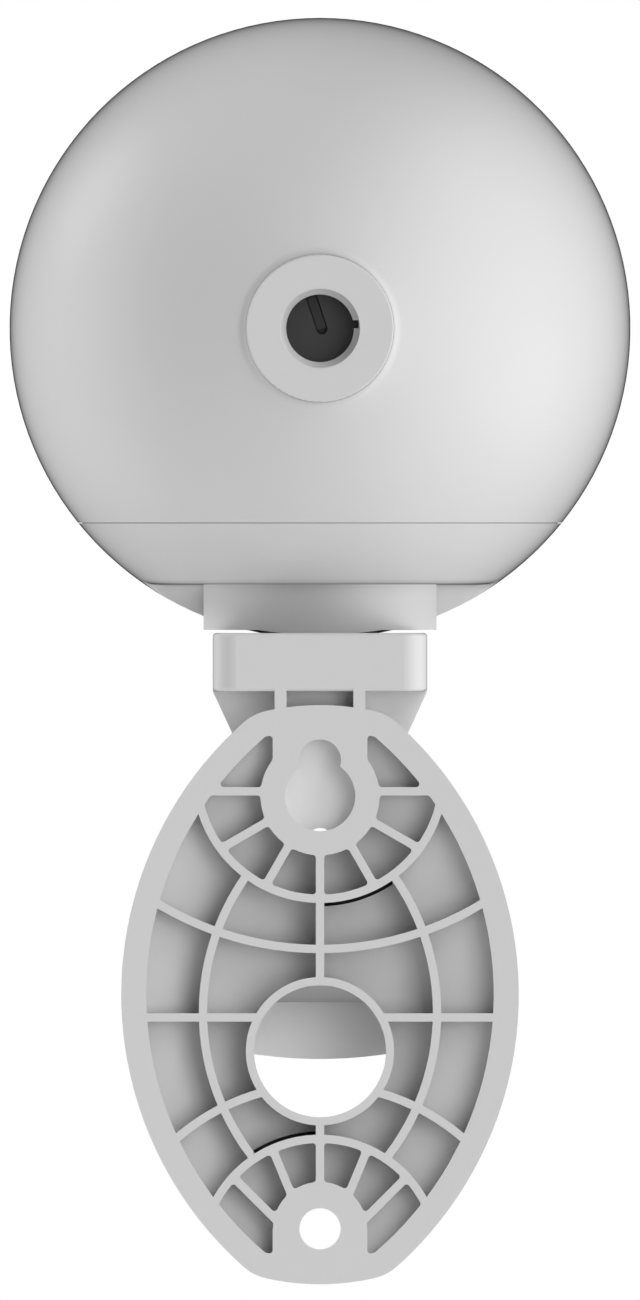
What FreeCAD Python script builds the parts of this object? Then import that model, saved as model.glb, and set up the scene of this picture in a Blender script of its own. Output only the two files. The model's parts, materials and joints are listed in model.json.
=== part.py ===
import FreeCAD, Part
import math
import os
import Sketcher

# Baby monitor camera: a ball-shaped pan and tilt camera on its wall bracket.
# +Z is up, the lens looks along -Y and the wall is the plane Y = 0. The origin is the
# centre of the bracket's lower screw hole, on the wall. Every length is in millimetres.

doc = FreeCAD.newDocument("baby_monitor_camera")

DIMENSIONS = {
    # ball
    "ball_radius": 37.25,
    "ball_height": 108.06,
    "ball_reach": 65.0,
    "shell_wall": 2.0,
    "seam_height": 13.89,
    "seam_gap": 0.08,
    "tongue_cover": 0.5,
    "tongue_wall": 0.6,
    "tongue_height": 0.5,
    "fit_gap": 0.1,
    "running_gap": 0.05,
    "face_gap": 0.05,
    # base of the ball: flat underside, rebate and foot
    "flat_height": 6.53,
    "flat_edge_radius": 3.0,
    "rebate_back": 1.0,
    "foot_half_width": 13.98,
    "foot_reach": 13.98,
    "foot_curve": 16.0,
    "foot_drop": 5.48,
    "collar_radius": 8.5,
    "collar_face_radius": 6.98,
    "insert_radius": 4.0,
    "insert_length": 6.3,
    "tripod_radius": 3.1,
    "tripod_back": 7.0,
    # arm of the bracket
    "arm_gap": 0.36,
    "arm_width": 25.74,
    "arm_thickness": 7.0,
    "arm_corner_radius": 2.8,
    "arm_edge_radius": 0.45,
    "arm_end_gap": 0.3,
    "screw_head_radius": 5.8,
    "screw_head_length": 3.0,
    "screw_head_gap": 0.4,
    # corbel under the arm
    "corbel_back": 8.0,
    "corbel_front": 44.0,
    "corbel_slope": 0.4636,
    "corbel_foot": 43.6,
    "corbel_toe": 13.0,
    "corbel_edge_radius": 1.6,
    "web_outer": 5.45,
    "web_thickness": 1.44,
    "web_recess": 4.2,
    # oval wall plate
    "plate_side_radius": 43.7,
    "plate_side_offset": 19.85,
    "plate_end_radius": 30.0,
    "plate_half_height": 34.75,
    "plate_centre": 28.1,
    "plate_corner_radius": 6.2,
    "plate_depth": 9.0,
    "plate_skin": 2.2,
    "dome_ring_radius": 85.0,
    "dome_radius_across": 75.0,
    "rim_width": 3.0,
    "rib_width": 1.0,
    "cell_corner_radius": 0.4,
    # keyhole and its ribs
    "key_height": 51.96,
    "key_radius": 4.24,
    "key_slot_rise": 4.24,
    "key_slot_radius": 2.53,
    "key_wall": 1.2,
    "key_hollow_depth": 2.8,
    "key_undercut": 0.96,
    "key_hollow_end": 0.94,
    "key_boss_radius": 7.15,
    "boss_neck_half": 5.68,
    "key_ring_rise": 2.44,
    "key_ring_radius": 14.8,
    "key_rib_rise": 0.54,
    "drain_radius": 1.6,
    "drain_sight": 0.38,
    # lower screw hole and its ribs
    "hole_radius": 2.47,
    "hole_boss_radius": 5.64,
    "low_ring_drop": 3.4,
    "low_ring_radius": 14.2,
    "low_rib_drop": 4.2,
    # middle ribs
    "bow_height": 26.0,
    "bow_radius": 28.3,
    "bow_reach": 14.05,
    "upper_arc_radius": 37.5,
    "upper_arc_height": 33.58,
    "lower_arc_radius": 26.2,
    "lower_arc_height": 17.3,
    "level_rib_height": 25.36,
    "slit_width": 0.3,
    "slit_depth": 1.9,
    # cable hole and its hood
    "cable_height": 21.31,
    "cable_radius": 7.92,
    "cable_ring_radius": 8.4,
    "hood_half_width": 10.6,
    "hood_wall": 2.0,
    "hood_depth": 17.5,
    "hood_top": 33.0,
    "hood_lip": 20.38,
    "hood_lip_radius": 54.0,
    "hood_crease": 27.2,
    "hood_edge_radius": 3.5,
    # pan bearing and gears
    "deck_clearance": 0.44,
    "deck_thickness": 1.82,
    "deck_sink": 1.15,
    "deck_screw_side": 8.0,
    "deck_screw_back": 8.6,
    "deck_screw_edge": 2.3,
    "post_radius": 5.0,
    "gear_module": 0.8,
    "ring_teeth": 28,
    "pinion_teeth": 10,
    "gear_face": 2.4,
    "washer_radius": 9.0,
    "retainer_radius": 8.0,
    "retainer_thickness": 1.2,
    "motor_radius": 6.0,
    "motor_length": 9.0,
    "shaft_radius": 1.0,
    # chassis
    "floor_thickness": 2.0,
    "floor_clearance": 0.3,
    "boss_side_rear": 17.0,
    "boss_back": 14.5,
    "boss_side_front": 16.0,
    "boss_ahead": 16.0,
    "cheek_gap": 0.7,
    "cheek_thickness": 2.5,
    # eye
    "eye_forward": 16.0,
    "eye_clearance": 1.32,
    "eye_wall": 1.8,
    "eye_overlap": 4.0,
    "bezel_sink": 0.24,
    "bezel_clearance": 1.0,
    "bezel_lip": 1.1,
    "bezel_flange": 1.8,
    "face_sink": 4.0,
    "window_rim": 0.6,
    "window_thickness": 1.5,
    "barrel_radius": 5.2,
    "barrel_proud": 1.2,
    "barrel_length": 11.0,
    "glass_radius": 4.0,
    "trunnion_radius": 2.0,
    "tilt_module": 0.6,
    "sector_teeth": 54,
    "tilt_pinion_teeth": 16,
    "tilt_motor_radius": 5.0,
    "tilt_motor_length": 7.5,
    # rear port
    "port_radius": 8.87,
    "port_proud": 0.35,
    "port_bore": 4.8,
    "port_fillet": 1.2,
    "port_edge_radius": 0.2,
    "jack_radius": 4.06,
    "jack_floor": 5.0,
    "jack_bore_length": 2.6,
    "jack_mouth": 1.4,
    "jack_shoulder": 0.3,
    "jack_length": 5.0,
    "jack_half": 5.0,
    "groove_radius": 0.69,
    "groove_side": 0.23,
    "groove_drop": 0.05,
    # boards and small parts
    "board_back": 17.0,
    "board_thickness": 1.6,
    "board_corner_radius": 3.0,
    "board_clearance": 2.9,
    "board_low": 10.5,
    "button_radius": 4.2,
    "button_lean": 16.0,
    "button_travel": 0.6,
    "button_board_length": 19.0,
    "button_board_width": 9.0,
    "button_board_thickness": 1.0,
    "button_board_depth": 5.6,
    "button_post_side": 7.5,
    "button_post_radius": 1.4,
    "shield_width": 11.0,
    "shield_height": 16.0,
    "shield_thickness": 2.2,
    "shield_side": 7.0,
    "shield_drop": 5.0,
    "radio_width": 12.0,
    "radio_height": 14.0,
    "radio_thickness": 2.0,
    "radio_side": 5.0,
    "radio_rise": 4.0,
    "face_ring": 1.2,
    "led_ring_radius": 7.8,
    "led_radius": 1.3,
    "led_length": 1.1,
    "sensor_post_radius": 1.4,
    "sensor_post_inset": 0.31,
    "boss_radius": 2.5,
    "boss_length": 6.0,
    "led_count": 8,
    "speaker_radius": 6.2,
    "speaker_thickness": 2.6,
    "speaker_forward": 9.0,
    "sound_radius": 0.45,
    "sound_spread": 1.7,
    "front_post_radius": 2.1,
    "light_drop": 19.8,
    "light_radius": 1.0,
    "microphone_radius": 1.4,
    "microphone_hole_radius": 0.5,
    "microphone_side": 6.0,
    "screw_radius": 1.0,
    "deck_screw_length": 3.4,
    "deck_screw_depth": 2.9,
    "retainer_screw_length": 6.0,
    "chassis_screw_length": 5.0,
    "board_screw_length": 3.5,
    "sensor_screw_length": 4.0,
}

# Sizes that follow from the ones above.
DERIVED = {
    "shell_inner": "ball_radius - shell_wall",
    "eye_radius": "ball_radius - seam_height - seam_gap / 2 - floor_thickness - eye_clearance",
    "opening_radius": "eye_radius - eye_overlap",
    "face_forward": "eye_radius - face_sink",
    "window_radius": "sqrt(pow(eye_radius; 2) - pow(face_forward; 2)) - window_rim",
    "sensor_post_offset": "(window_radius + face_ring) / sqrt(2) - sensor_post_inset",
    "cheek_inner": "eye_radius + cheek_gap",
    "seam_radius": "sqrt(pow(ball_radius; 2) - pow(ball_radius - seam_height; 2))",
    "floor_radius": "sqrt(pow(shell_inner; 2) - pow(ball_radius - seam_height; 2)) - floor_clearance",
    "tilt_centres": "tilt_module * (sector_teeth + tilt_pinion_teeth) / 2",
    "shelf_drop": "shell_inner - flat_height",
    "deck_radius": "sqrt(pow(shell_inner; 2) - pow(shelf_drop; 2)) - deck_clearance",
    "deck_screw_ahead": "deck_radius - deck_screw_edge",
    "board_reach": "sqrt(pow(shell_inner; 2) - pow(board_back + board_thickness; 2)) - board_clearance",
    "board_half_width": "(board_reach - board_corner_radius) / sqrt(2) + board_corner_radius",
}

sheet = doc.addObject("Spreadsheet::Sheet", "Dims")
for row, (alias, value) in enumerate(DIMENSIONS.items(), start=1):
    sheet.set(f"A{row}", alias)
    sheet.set(f"B{row}", str(value))
    sheet.setAlias(f"B{row}", alias)
doc.recompute()

NODES = []
TURNS = {
    "up": FreeCAD.Rotation(),
    "down": FreeCAD.Rotation(FreeCAD.Vector(1, 0, 0), 180),
    "back": FreeCAD.Rotation(FreeCAD.Vector(1, 0, 0), -90),
    "front": FreeCAD.Rotation(FreeCAD.Vector(1, 0, 0), 90),
    "right": FreeCAD.Rotation(FreeCAD.Vector(0, 1, 0), 90),
    "left": FreeCAD.Rotation(FreeCAD.Vector(0, 1, 0), -90),
    "cycled": FreeCAD.Rotation(FreeCAD.Vector(1, 1, 1), -120),
}


def dims(text):
    """Expression text with every dimension's name bound to the sheet."""
    words = sorted([*DIMENSIONS, *DERIVED], key=len, reverse=True)
    out = ""
    position = 0
    while position < len(text):
        name = next((w for w in words if text.startswith(w, position)), None)
        before = text[position - 1] if position else " "
        if name and not (before.isalnum() or before in "_."):
            out += f"({dims(DERIVED[name])})" if name in DERIVED else "Dims." + name
            position += len(name)
        else:
            out += text[position]
            position += 1
    return out


def number(text):
    """Present value of an expression."""
    return float(sheet.evalExpression(dims(text)))


def ball_y(text="0"):
    """Depth in the row's frame of a place given from the ball's centre."""
    return f"(-ball_reach + ({text}))"


def ball_z(text="0"):
    """Height in the row's frame of a place given from the ball's centre."""
    return f"(ball_height + ({text}))"


def put(part, x="0", y="0", z="0", turn="up"):
    """Place a part at expressions for its base point, turned one of the named ways."""
    rotation = TURNS[turn] if isinstance(turn, str) else turn
    part.Placement = FreeCAD.Placement(FreeCAD.Vector(), rotation)
    for axis, text in zip("xyz", (x, y, z)):
        part.setExpression(f".Placement.Base.{axis}", dims(text))
    return part


def box(name, x, y, z):
    """Block between three pairs of low and high places."""
    part = doc.addObject("Part::Box", name)
    for side, (low, high) in zip(("Length", "Width", "Height"), (x, y, z)):
        part.setExpression(side, dims(f"({high}) - ({low})"))
    return put(part, x[0], y[0], z[0])


def rod(name, radius, length, x="0", y="0", z="0", turn="up"):
    part = doc.addObject("Part::Cylinder", name)
    part.setExpression("Radius", dims(radius))
    part.setExpression("Height", dims(length))
    return put(part, x, y, z, turn)


def ball(name, radius, x="0", y="0", z="0"):
    part = doc.addObject("Part::Sphere", name)
    part.setExpression("Radius", dims(radius))
    return put(part, x, y, z)


def fuse(name, *parts):
    part = doc.addObject("Part::MultiFuse", name)
    part.Shapes = list(parts)
    return part


def common(name, *parts):
    part = doc.addObject("Part::MultiCommon", name)
    part.Shapes = list(parts)
    return part


def cut(name, base, *tools):
    part = doc.addObject("Part::Cut", name)
    part.Base = base
    part.Tool = tools[0] if len(tools) == 1 else fuse(name + "_tools", *tools)
    return part


def tube(name, outer, inner, length, x="0", y="0", z="0", turn="up"):
    wall = rod(name + "_outer", outer, length, x, y, z, turn)
    bore = rod(name + "_bore", inner, length, x, y, z, turn)
    return cut(name, wall, bore)


def rounded(name, base, radius, wanted):
    """Fillet on the edges of a part that the given test picks."""
    doc.recompute()
    size = number(radius)
    part = doc.addObject("Part::Fillet", name)
    part.Base = base
    part.Edges = [(i, size, size) for i, edge in enumerate(base.Shape.Edges, 1) if wanted(edge)]
    return part


def along(edge, axis):
    """True for a straight edge along one of the axes."""
    if edge.Curve.TypeId != "Part::GeomLine":
        return False
    return abs(abs(getattr(edge.Curve.Direction, axis)) - 1) < 1e-6


def origin_plane(body, role):
    return next(plane for plane in body.Origin.OriginFeatures if plane.Role == role)


def outline(body, name, role, points):
    """Closed sketch of straight lines whose corners are bound to the sheet."""
    sketch = body.newObject("Sketcher::SketchObject", name)
    sketch.AttachmentSupport = [(origin_plane(body, role), "")]
    sketch.MapMode = "FlatFace"
    corners = [FreeCAD.Vector(number(a), number(b), 0) for a, b in points]
    for i, corner in enumerate(corners):
        sketch.addGeometry(Part.LineSegment(corner, corners[(i + 1) % len(corners)]), False)
    for i in range(len(corners)):
        sketch.addConstraint(Sketcher.Constraint("Coincident", i, 2, (i + 1) % len(corners), 1))
    for i, point in enumerate(points):
        for kind, text, axis in zip(("DistanceX", "DistanceY"), point, (-2, -1)):
            if text == "0":
                sketch.addConstraint(Sketcher.Constraint("PointOnObject", i, 1, axis))
                continue
            index = sketch.addConstraint(Sketcher.Constraint(kind, -1, 1, i, 1, number(text)))
            sketch.setExpression(f"Constraints[{index}]", dims(text))
    return sketch


def turned(name, points, x="0", y="0", z="0", turn="up"):
    """Body turned about its own Z from (radius, height) corners."""
    body = doc.addObject("PartDesign::Body", name)
    sketch = outline(body, name + "_profile", "XZ_Plane", points)
    feature = body.newObject("PartDesign::Revolution", name + "_turning")
    feature.Profile = sketch
    feature.ReferenceAxis = (sketch, ["V_Axis"])
    feature.Angle = 360
    return put(body, x, y, z, turn)


def prism(name, role, points, length, x="0", y="0", z="0"):
    """Body padded both ways from a flat outline on one of its own planes."""
    body = doc.addObject("PartDesign::Body", name)
    sketch = outline(body, name + "_profile", role, points)
    feature = body.newObject("PartDesign::Pad", name + "_pad")
    feature.Profile = sketch
    feature.Midplane = True
    feature.setExpression("Length", dims(length))
    return put(body, x, y, z)


def gear(name, teeth, module, face, x="0", y="0", z="0", turn="up", phase=0.0):
    """Spur gear blank: a root disc, one tooth, and its polar pattern."""
    body = doc.addObject("PartDesign::Body", name)
    disc = body.newObject("Sketcher::SketchObject", name + "_disc")
    disc.AttachmentSupport = [(origin_plane(body, "XY_Plane"), "")]
    disc.MapMode = "FlatFace"
    root = f"{module} * ({teeth} / 2 - 1.2)"
    disc.addGeometry(Part.Circle(FreeCAD.Vector(), FreeCAD.Vector(0, 0, 1), number(root)), False)
    disc.addConstraint(Sketcher.Constraint("Coincident", 0, 3, -1, 1))
    index = disc.addConstraint(Sketcher.Constraint("Radius", 0, number(root)))
    disc.setExpression(f"Constraints[{index}]", dims(root))
    blank = body.newObject("PartDesign::Pad", name + "_blank")
    blank.Profile = disc
    blank.setExpression("Length", dims(face))
    inner = f"{module} * ({teeth} / 2 - 1.4)"
    outer = f"{module} * ({teeth} / 2 + 0.85)"
    tooth = outline(
        body,
        name + "_tooth_profile",
        "XY_Plane",
        [
            (inner, f"{module} * -0.92"),
            (outer, f"{module} * -0.3"),
            (outer, f"{module} * 0.3"),
            (inner, f"{module} * 0.92"),
        ],
    )
    first = body.newObject("PartDesign::Pad", name + "_tooth")
    first.Profile = tooth
    first.setExpression("Length", dims(face))
    doc.recompute()
    pattern = body.newObject("PartDesign::PolarPattern", name + "_teeth")
    pattern.Originals = [first]
    pattern.Axis = (disc, ["N_Axis"])
    pattern.Angle = 360
    pattern.setExpression("Occurrences", dims(teeth))
    body.Tip = pattern
    spin = FreeCAD.Rotation(FreeCAD.Vector(0, 0, 1), phase)
    return put(body, x, y, z, TURNS[turn].multiply(spin))


def keep(name, part):
    """Name a finished sub-part."""
    part.Label = name
    NODES.append(part)
    return part


# ---------------------------------------------------------------- wall bracket


def oval(name, inset):
    """Pointed oval with blunt ends: two side cylinders overlap, and two end ones stop them."""
    blank = "plate_depth + 1"
    sides = []
    ends = []
    for sign in (-1, 1):
        centre = f"{sign} * plate_side_offset"
        radius = f"plate_side_radius - {inset}"
        sides.append(rod(f"{name}_side{sign + 1}", radius, blank, centre, "0", "plate_centre", "front"))
        centre = f"plate_centre + {sign} * (plate_half_height - plate_end_radius)"
        radius = f"plate_end_radius - {inset}"
        ends.append(rod(f"{name}_end{sign + 1}", radius, blank, "0", "0", centre, "front"))
    return common(name, *sides, fuse(name + "_ends", *ends))


def dome(name, inset):
    """Barrel whose near side is the plate's gently crowned front, or its inner skin."""
    part = doc.addObject("Part::Torus", name)
    part.setExpression("Radius1", dims("dome_ring_radius"))
    part.setExpression("Radius2", dims(f"dome_radius_across - {inset}"))
    return put(part, "0", "dome_ring_radius + dome_radius_across - plate_depth", "plate_centre", "right")


def spoke(name, centre, angle, length):
    """Straight rib that runs out from a point on the centre line, at an angle from +X."""
    part = doc.addObject("Part::Box", name)
    part.setExpression("Length", dims(length))
    part.setExpression("Width", dims("plate_depth"))
    part.setExpression("Height", dims("rib_width"))
    swing = FreeCAD.Rotation(FreeCAD.Vector(0, -1, 0), angle)
    across = f"rib_width / 2 * sin({angle} deg)"
    return put(part, across, "-plate_depth", f"{centre} - rib_width / 2 * cos({angle} deg)", swing)


def ring_rib(name, radius, x, z):
    outer = f"{radius} + rib_width / 2"
    inner = f"{radius} - rib_width / 2"
    return tube(name, outer, inner, "plate_depth", x, "0", z, "front")


def plate_lands():
    """Everything that stands between the cells: bosses, ring ribs, spokes and long ribs."""
    full = "plate_depth"
    upper_field = rod("upper_field", "key_ring_radius", full, "0", "0", "key_height + key_ring_rise", "front")
    lower_field = rod("lower_field", "low_ring_radius", full, "0", "0", "-low_ring_drop", "front")
    upper_spokes = [
        spoke(f"upper_spoke{a}", "key_height + key_rib_rise", -a, "key_ring_radius + 12")
        for a in range(0, 181, 30)
    ]
    lower_angles = (45, 67.5, 90, 112.5, 135)
    lower_spokes = [
        spoke(f"lower_spoke{i}", "-low_rib_drop", a, "low_ring_radius + 12")
        for i, a in enumerate(lower_angles)
    ]
    bows = []
    for side in (-1, 1):
        curve = ring_rib(f"bow{side + 1}", "bow_radius", f"{side} * (bow_reach - bow_radius)", "bow_height")
        reach = ("0", "plate_side_radius") if side > 0 else ("-plate_side_radius", "0")
        half = box(f"bow_half{side + 1}", reach, ("-plate_depth", "0"), ("-10", "80"))
        bows.append(common(f"bow_rib{side + 1}", curve, half))
    upper_arc = ring_rib("upper_arc", "upper_arc_radius", "0", "upper_arc_height + upper_arc_radius")
    lower_arc = ring_rib("lower_arc", "lower_arc_radius", "0", "lower_arc_height - lower_arc_radius")
    level = box(
        "level_rib",
        ("-plate_side_radius", "plate_side_radius"),
        ("-plate_depth", "0"),
        ("level_rib_height - rib_width / 2", "level_rib_height + rib_width / 2"),
    )
    upright = box(
        "upright_rib",
        ("-rib_width / 2", "rib_width / 2"),
        ("-plate_depth", "0"),
        ("0", "key_height"),
    )
    long_ribs = cut(
        "long_ribs",
        fuse("long_ribs_all", *bows, upper_arc, lower_arc, level, upright),
        upper_field,
        lower_field,
    )
    neck = ("-boss_neck_half", "boss_neck_half")
    through = ("-plate_depth", "0")
    return [
        long_ribs,
        common("upper_spokes", fuse("upper_spokes_all", *upper_spokes), upper_field),
        common("lower_spokes", fuse("lower_spokes_all", *lower_spokes), lower_field),
        ring_rib("upper_ring", "key_ring_radius", "0", "key_height + key_ring_rise"),
        ring_rib("lower_ring", "low_ring_radius", "0", "-low_ring_drop"),
        ring_rib("cable_ring", "cable_ring_radius", "0", "cable_height"),
        rod("key_boss", "key_boss_radius", full, "0", "0", "key_height", "front"),
        box("key_neck", neck, through, ("key_height", "key_height + 20")),
        rod("hole_boss", "hole_boss_radius", full, "0", "0", "0", "front"),
        box("hole_neck", neck, through, ("-20", "0")),
    ]


def arm_solids():
    """Flat arm, the tapered corbel under it and the two webs behind that."""
    half = "arm_width / 2"
    top = ball_z("flat_height - ball_radius - foot_drop - arm_gap")
    bottom = ball_z("flat_height - ball_radius - foot_drop - arm_gap - arm_thickness")
    end = ball_y("rebate_back + arm_end_gap")
    blank = box("arm_blank", (f"-{half}", half), (end, "0"), (bottom, top))
    corners = rounded("arm_corners", blank, "arm_corner_radius", lambda e: along(e, "z"))
    arm = rounded(
        "arm_edges", corners, "arm_edge_radius", lambda e: abs(e.tangentAt(e.FirstParameter).z) < 0.01
    )
    taper = f"({half} - ({bottom} - corbel_foot) * corbel_slope)"
    face = prism(
        "corbel_face",
        "XZ_Plane",
        [
            (f"-{half}", f"{bottom} + 1"),
            (f"-{half}", bottom),
            (f"-{taper}", "corbel_foot"),
            (taper, "corbel_foot"),
            (half, bottom),
            (half, f"{bottom} + 1"),
        ],
        "2 * (corbel_front + 5)",
    )
    side = prism(
        "corbel_side",
        "YZ_Plane",
        [
            ("-corbel_back", f"{bottom} + 1"),
            ("-corbel_back", "corbel_foot"),
            ("-corbel_toe", "corbel_foot"),
            ("-corbel_front", f"{bottom} - 1"),
            ("-corbel_front", f"{bottom} + 1"),
        ],
        "arm_width + 2",
    )
    corbel = rounded(
        "corbel_edges",
        common("corbel_blank", face, side),
        "corbel_edge_radius",
        lambda e: min(v.Z for v in e.Vertexes) < number(bottom) - 5 and max(v.Y for v in e.Vertexes) < -9,
    )
    webs = []
    for side_sign in (-1, 1):
        low = "web_outer - web_thickness" if side_sign > 0 else "-web_outer"
        high = "web_outer" if side_sign > 0 else "web_thickness - web_outer"
        webs.append(
            box(
                f"web{side_sign + 1}",
                (low, high),
                ("-corbel_back - 2", "0"),
                ("plate_centre + 30", f"{bottom} + 1"),
            ),
        )
    between = "web_outer - web_thickness / 2"
    floor = box(
        "web_floor",
        (f"-({between})", between),
        ("-corbel_back - 2", "-web_recess"),
        ("plate_centre + 30", f"{bottom} + 1"),
    )
    return [arm, corbel, *webs, floor]


def hood_solids():
    """Hood over the upper half of the cable hole, and the space inside it."""
    blank = box(
        "hood_blank",
        ("-hood_half_width", "hood_half_width"),
        ("-hood_depth", "-plate_depth / 2"),
        ("hood_lip - 6", "hood_top"),
    )
    soft = rounded(
        "hood_edges",
        blank,
        "hood_edge_radius",
        lambda e: (min(v.Y for v in e.Vertexes) < -number("hood_depth") + 0.1 or along(e, "y"))
        and max(v.Z for v in e.Vertexes) > number("hood_top") - 0.1,
    )
    lip = rod(
        "hood_lip_curve", "hood_lip_radius", "hood_depth + 1", "0", "0", "hood_lip + hood_lip_radius", "front"
    )
    space = prism(
        "hood_space",
        "YZ_Plane",
        [
            ("-plate_depth", "cable_height + cable_radius + running_gap"),
            ("hood_wall - hood_depth", "hood_crease"),
            ("hood_wall - hood_depth", "hood_lip - 8"),
            ("-plate_depth", "hood_lip - 8"),
        ],
        "2 * (hood_half_width - hood_wall)",
    )
    return common("hood", soft, lip), space


def key_hollow():
    """Smooth hollow behind the keyhole's wall, wide enough for a screw head to slide up in."""
    egg = doc.addObject("Part::Ellipsoid", "key_egg")
    egg.setExpression("Radius1", dims("key_hollow_depth"))
    egg.setExpression("Radius2", dims("key_slot_rise / 2 + key_radius + key_hollow_end"))
    egg.setExpression("Radius3", dims("key_radius + key_undercut"))
    put(egg, "0", "-key_wall", "key_height + key_slot_rise / 2", "cycled")
    behind = box(
        "key_behind",
        ("-plate_side_radius", "plate_side_radius"),
        ("-key_wall - key_hollow_depth - 1", "-key_wall"),
        ("key_height - key_ring_radius", "key_height + key_ring_radius"),
    )
    return common("key_hollow", egg, behind)


def in_a_fan(edge):
    """True for the upright corners of the small cells round the keyhole and the screw hole."""
    place = edge.CenterOfMass
    if not along(edge, "y") or abs(place.z) < number("screw_radius"):
        return False
    upper = math.hypot(place.x, place.z - number("key_height + key_ring_rise"))
    lower = math.hypot(place.x, place.z + number("low_ring_drop"))
    return upper < number("key_ring_radius") or lower < number("low_ring_radius")


def build_bracket():
    plate = common("plate_blank", oval("plate_oval", "0"), dome("plate_dome", "0"))
    plate = rounded(
        "plate_corners", plate, "plate_corner_radius", lambda e: along(e, "y") and len(e.Vertexes) == 2
    )
    doc.recompute()
    hood, hood_space = hood_solids()
    sharp_cells = cut(
        "sharp_cells",
        common("cell_field", oval("cell_oval", "rim_width"), dome("cell_dome", "plate_skin")),
        *plate_lands(),
    )
    cells = rounded("cells", sharp_cells, "cell_corner_radius", in_a_fan)
    body = fuse("bracket_solids", plate, *arm_solids(), hood)
    slot_height = "key_height + key_slot_rise"
    reach = "key_wall + running_gap"
    pocket = [
        rod("key_round", "key_radius", reach, "0", "0", "key_height", "front"),
        rod("key_slot", "key_slot_radius", reach, "0", "0", slot_height, "front"),
        key_hollow(),
    ]
    drain_height = "key_height - key_radius + drain_sight - drain_radius"
    drain = rod("drain", "drain_radius", "corbel_front", "0", "-key_wall", drain_height, "front")
    hole = rod("screw_hole", "hole_radius", "plate_depth + 1", "0", "0.5", "0", "front")
    cable = rod("cable_hole", "cable_radius", "plate_depth + 1", "0", "0.5", "cable_height", "front")
    pad_y = ball_y("rebate_back + tripod_back")
    bottom = ball_z("flat_height - ball_radius - foot_drop - arm_gap - arm_thickness")
    shank = rod("shank_hole", "tripod_radius + fit_gap", "arm_thickness + 5", "0", pad_y, f"{bottom} - 1")
    head = rod(
        "head_seat",
        "screw_head_radius + screw_head_gap",
        "screw_head_length + 1.3",
        "0",
        pad_y,
        f"{bottom} - 1",
    )
    slit_low = "low_ring_radius + rib_width / 2"
    slits = []
    for name, radius, height, x, z in (
        ("lower_slit", slit_low, "-low_ring_drop", ("0.6", "8.0"), ("0", "14")),
        (
            "upper_slit",
            "key_ring_radius + rib_width / 2",
            "key_height + key_ring_rise",
            ("-8.4", "-0.6"),
            ("36", "44"),
        ),
    ):
        curve = tube(
            name + "_curve", f"{radius} + slit_width", radius, "plate_depth", "0", "0", height, "front"
        )
        reach = box(name + "_reach", x, ("-plate_depth", "0"), z)
        band = dome(name + "_floor", "plate_skin - slit_depth")
        slits.append(common(name, curve, reach, band))
    keep(
        "wall_bracket",
        cut("wall_bracket", body, cells, hood_space, *pocket, drain, hole, cable, shank, head, *slits),
    )


build_bracket()


# ---------------------------------------------------------------- base of the ball

CENTRE = ("0", ball_y(), ball_z())
SEAM_LOW = ball_z("seam_height - ball_radius - seam_gap / 2")
SEAM_HIGH = ball_z("seam_height - ball_radius + seam_gap / 2")
FLOOR_TOP = ball_z("seam_height - ball_radius + seam_gap / 2 + floor_thickness")
FLAT = ball_z("flat_height - ball_radius")
SHELF = ball_z("flat_height - ball_radius + shell_wall")
DECK_TOP = ball_z("flat_height - ball_radius + shell_wall + deck_thickness")
FOOT_LOW = ball_z("flat_height - ball_radius - foot_drop")
TRIPOD_Y = ball_y("rebate_back + tripod_back")
WIDE = ("-ball_radius - 5", "ball_radius + 5")
DEEP = (ball_y("-ball_radius - 5"), ball_y("ball_radius + 5"))
DECK_SCREWS = (
    ("deck_screw_side", "deck_screw_back"),
    ("-deck_screw_side", "deck_screw_back"),
    ("0", "-deck_screw_ahead"),
)


def foot_block(name, low, high):
    """Outline of the foot, flat at its sides and curved at its back, between two heights."""
    sides = ("-foot_half_width", "foot_half_width")
    return common(
        name,
        rod(name + "_curve", "foot_curve", f"{high} - ({low})", "0", ball_y("foot_reach - foot_curve"), low),
        box(name + "_sides", sides, (ball_y(), DEEP[1]), (low, high)),
    )


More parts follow.
